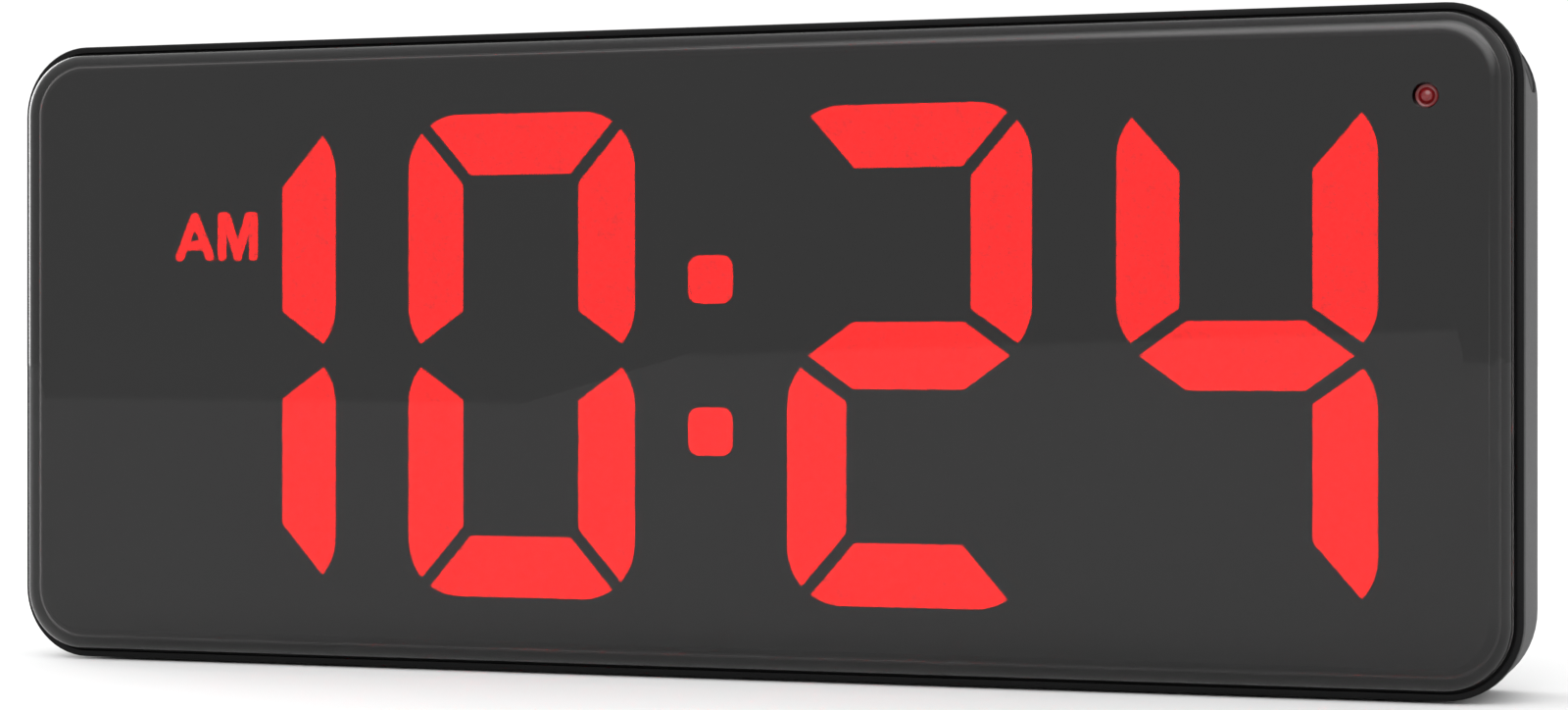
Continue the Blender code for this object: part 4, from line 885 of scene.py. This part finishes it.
for side in (-1, 1):
    x = side * 98 * MM
    slab((x - 2.2 * MM, x + 2.2 * MM), through, (58 * MM, 70.4 * MM), 2.15 * MM, into=holes)
carve(housing, holes)
entries = bmesh.new()
for side in (-1, 1):
    rod((side * 98 * MM, 60.2 * MM), 4 * MM, through, into=entries)
for x, z in SCREW_PLACES:
    rod((x, z), 2.9 * MM, (14.5 * MM, 17 * MM), into=entries)
carve(housing, entries)
bores = bmesh.new()
for x, z in SCREW_PLACES:
    rod((x, z), 1.35 * MM, (12.6 * MM, 16 * MM), steps=32, into=bores)
carve(housing, bores)
# Pockets for the feet in the base, and the groove that the gloss trim lies in
FOOT_PLACES = {
    "foot_front_left": (-94, -5), "foot_front_right": (94, -5),
    "foot_rear_left": (-94, 7), "foot_rear_right": (94, 7),
}
pockets = bmesh.new()
for x, y in FOOT_PLACES.values():
    slab(
        ((x - 15.3) * MM, (x + 15.3) * MM), ((y - 2.8) * MM, (y + 2.8) * MM),
        (-0.6 * MM, 1.4 * MM), 1.0 * MM, axis="Z", into=pockets,
    )
carve(housing, pockets)
TRIM_Y = (-5.1 * MM, 3.3 * MM)


def trim_band(name, grow, outer, inner):
    """A band over the top and both upper corners, between two depths under the surface."""
    y = (TRIM_Y[0] - grow, TRIM_Y[1] + grow)
    section = (
        (housing_inset(y[0]) + outer, y[0]), (housing_inset(y[1]) + outer, y[1]),
        (housing_inset(y[1]) + inner, y[1]), (housing_inset(y[0]) + inner, y[0]),
    )
    band = object_from(name, loft(
        [case_section(inset, depth, HOUSING_CORNER) for inset, depth in section], ring=True
    ))
    low = TOP - 12.4 * MM - grow
    kept_part = slab(
        (-130 * MM, 130 * MM), y, (low, low + 24 * MM), 3.4 * MM, axis="X", segments=12
    )
    carve(band, kept_part, "INTERSECT")
    return band


groove = trim_band("groove", 0.3 * MM, -1.0 * MM, 1.6 * MM)
groove_tool = bmesh.new()
groove_tool.from_mesh(groove.data)
bpy.data.objects.remove(groove)
carve(housing, groove_tool)
carve(housing, slab((-50.3 * MM, 50.3 * MM), (-5.4 * MM, 3.6 * MM), (96 * MM, 103 * MM)))
housing_black = moulding("housing_black", (0.019, 0.019, 0.020), 0.52, grain=1900.0, depth=0.03,
                         marks=0.12, dust=0.05, specular=0.30)
fit(housing, "case", "housing_plastic", [housing_black], "rear_housing")


# Top trim: two strips of gloss-black plastic that run from the snooze bar over the top and down
# both shoulders, let into a groove in the housing.
satin_black = moulding("satin_black", (0.003, 0.003, 0.0032), 0.34, grain=2600.0, depth=0.006,
                       marks=0.10, dust=0.01, specular=0.01)
for name, side in (("top_trim_left", -1), ("top_trim_right", 1)):
    strip = trim_band(name + "_strip", 0.0, 0.2 * MM, 1.3 * MM)
    ends = sorted((side * 50.6 * MM, side * 130 * MM))
    carve(strip, slab(ends, (-20 * MM, 20 * MM), (60 * MM, 110 * MM)), "INTERSECT")
    rounded = bmesh.new()
    rounded.from_mesh(strip.data)
    bmesh.ops.remove_doubles(rounded, verts=rounded.verts, dist=1e-6)
    soften(rounded, 0.15 * MM)
    rounded.to_mesh(strip.data)
    rounded.free()
    fit(strip, "case", "trim_gloss", [satin_black], name)


# Snooze bar: one long gloss-black key in the middle of the top, with rounded edges and a stem
# down to its switch on the control board.
bar = slab((-50 * MM, 50 * MM), TRIM_Y, (99.15 * MM, 101.75 * MM), 0.8 * MM, segments=8)
soften(bar, 0.45 * MM, segments=5)
snooze = object_from("snooze_key", bar)
stem = rod((0.0, -1.05 * MM), 1.7 * MM, (88.7 * MM, 99.5 * MM), axis="Z")
carve(snooze, stem, "UNION")
carve(snooze, rod((0.0, -1.05 * MM), 1.1 * MM, (87.0 * MM, 89.5 * MM), axis="Z"), "UNION")
fit(snooze, "snooze_bar", "trim_gloss", [satin_black], "snooze_bar")


# Rear buttons: four round caps of dark grey rubber-feel plastic in the recessed panel, each with
# a flange inside the back wall and a stem onto its switch.
button_grey = moulding(
    "button_grey", (0.075, 0.075, 0.08), 0.6, grain=2200.0, depth=0.02, dust=0.04
)
for name, x in BUTTON_PLACES.items():
    cap = [(0.0, 15.72), (1.2, 15.73), (2.4, 15.76)]
    for step in range(7):
        turn = math.radians(90 * step / 6)
        cap.append((3.1 + 0.5 * math.sin(turn), 15.3 + 0.5 * math.cos(turn)))
    cap += [
        (3.6, 13.3), (4.5, 13.3), (4.5, 12.4), (1.7, 12.4),
        (1.7, 9.0), (1.1, 9.0), (1.1, 7.3), (0.0, 7.3),
    ]
    button = object_from(name + "_cap", turned((x, BUTTON_Z), [(r * MM, y * MM) for r, y in cap]))
    fit(button, name + "_button", "button_grey", [button_grey], name + "_button")


# Alarm switch: a small ribbed grey slider in its slot beside the buttons, with a keeper plate
# inside the wall and an arm down to the slide switch.
knob = slab((-91.6 * MM, -88.4 * MM), (12.6 * MM, 15.8 * MM), (78.8 * MM, 81.2 * MM))
soften(knob, 0.25 * MM, segments=3)
slider = object_from("alarm_slider", knob)
ribs = bmesh.new()
for number in range(3):
    x = (-90.8 + 0.8 * number) * MM
    slab((x - 0.15 * MM, x + 0.15 * MM), (15.5 * MM, 17 * MM), (78 * MM, 82 * MM), into=ribs)
carve(slider, ribs)
flange = slab((-93.1 * MM, -86.9 * MM), (12.1 * MM, 13.3 * MM), (77.6 * MM, 82.4 * MM))
carve(slider, flange, "UNION")
prong = slab((-90.6 * MM, -89.4 * MM), (6.7 * MM, 12.6 * MM), (79.4 * MM, 80.6 * MM))
carve(slider, prong, "UNION")
fit(slider, "slide_knob", "button_grey", [button_grey], "slide_knob")


# Power jack: a black socket soldered to the control board, its collar reaching through the back,
# with a plated pin in the middle of the bore. No lead is fitted.
socket = object_from("jack_socket", slab((68.5 * MM, 79.5 * MM), (3.9 * MM, 13.3 * MM),
                                         (20.9 * MM, 31.9 * MM)))
carve(socket, rod((74 * MM, 26.4 * MM), 4.2 * MM, (12.3 * MM, 15.6 * MM)), "UNION")
carve(socket, rod((74 * MM, 26.4 * MM), 3.2 * MM, (5.4 * MM, 17 * MM)))
fit(socket, "case", "component_black", [part_black], "power_jack")


# Battery cover: a thin matte lid over the back-up cell that slides sideways, with a ribbed grip.
lid = slab((49 * MM, 79 * MM), (14.7 * MM, 15.9 * MM), (44.2 * MM, 74.2 * MM), 1.0 * MM, segments=6)
soften(lid, 0.2 * MM, segments=3)
cover = object_from("battery_lid", lid)
grips = bmesh.new()
for number in range(4):
    x = (73 + 1.2 * number) * MM
    slab((x, x + 0.6 * MM), (15.5 * MM, 17 * MM), (53.2 * MM, 65.2 * MM), into=grips)
carve(cover, grips)
cover_black = moulding("cover_black", (0.028, 0.028, 0.030), 0.5, grain=2100.0, depth=0.025)
fit(cover, "battery_cover", "cover_plastic", [cover_black], "battery_cover")


# Folding stand: a stiff plate hinged on a steel pin behind the clock, hollowed on its outer face,
# with a soft rubber strip at its free end.
leg = object_from("stand_plate", soften(
    slab((-22 * MM, 22 * MM), (12.8 * MM, 15.8 * MM), (10 * MM, 60 * MM)), 0.35 * MM, segments=3,
    where=lambda spot: spot.z < 59 * MM,
))
carve(leg, rod((13.9 * MM, 60 * MM), 1.9 * MM, (-22 * MM, 22 * MM), axis="X", steps=64), "UNION")
hollow = slab((-13 * MM, 13 * MM), (14.4 * MM, 17 * MM), (20 * MM, 49 * MM), 4 * MM, segments=12)
carve(leg, hollow)
carve(leg, rod((13.9 * MM, 60 * MM), 1.1 * MM, (-23 * MM, 23 * MM), axis="X", steps=48))
stand_black = moulding("stand_black", (0.030, 0.030, 0.032), 0.5, grain=2000.0, depth=0.03)
fit(leg, "stand", "stand_plastic", [stand_black], "stand_leg")
soft_black = moulding("soft_black", (0.014, 0.014, 0.014), 0.82, grain=1400.0, depth=0.04, dust=0.1)
tip = slab((-22 * MM, 22 * MM), (12.8 * MM, 15.8 * MM), (5 * MM, 9.7 * MM))
soften(tip, 0.6 * MM, segments=4, where=lambda spot: spot.z < 6 * MM)
fit(object_from("stand_tip", tip), "stand", "rubber_black", [soft_black], "stand_pad")


# Feet: four soft rubber strips pressed into pockets in the base, just proud of it.
for name, (x, y) in FOOT_PLACES.items():
    foot = slab(((x - 15) * MM, (x + 15) * MM), ((y - 2.5) * MM, (y + 2.5) * MM), (0, 1.1 * MM),
                0.8 * MM, axis="Z", segments=5)
    soften(foot, 0.18 * MM, segments=3, where=lambda spot: spot.z < 0.5 * MM)
    fit(object_from(name + "_strip", foot), "case", "rubber_black", [soft_black], name)


# Case screws: four black self-tapping screws, cross-headed, deep in their seats at the back.
screw_black = moulding("screw_black", (0.09, 0.09, 0.095), 0.36, grain=900.0, depth=0.004,
                       marks=0.2, mark_scale=140.0, metallic=1.0)
refinish(screw_black, "case_screw_lower_left", "case_screw_lower_right",
         "case_screw_upper_left", "case_screw_upper_right")
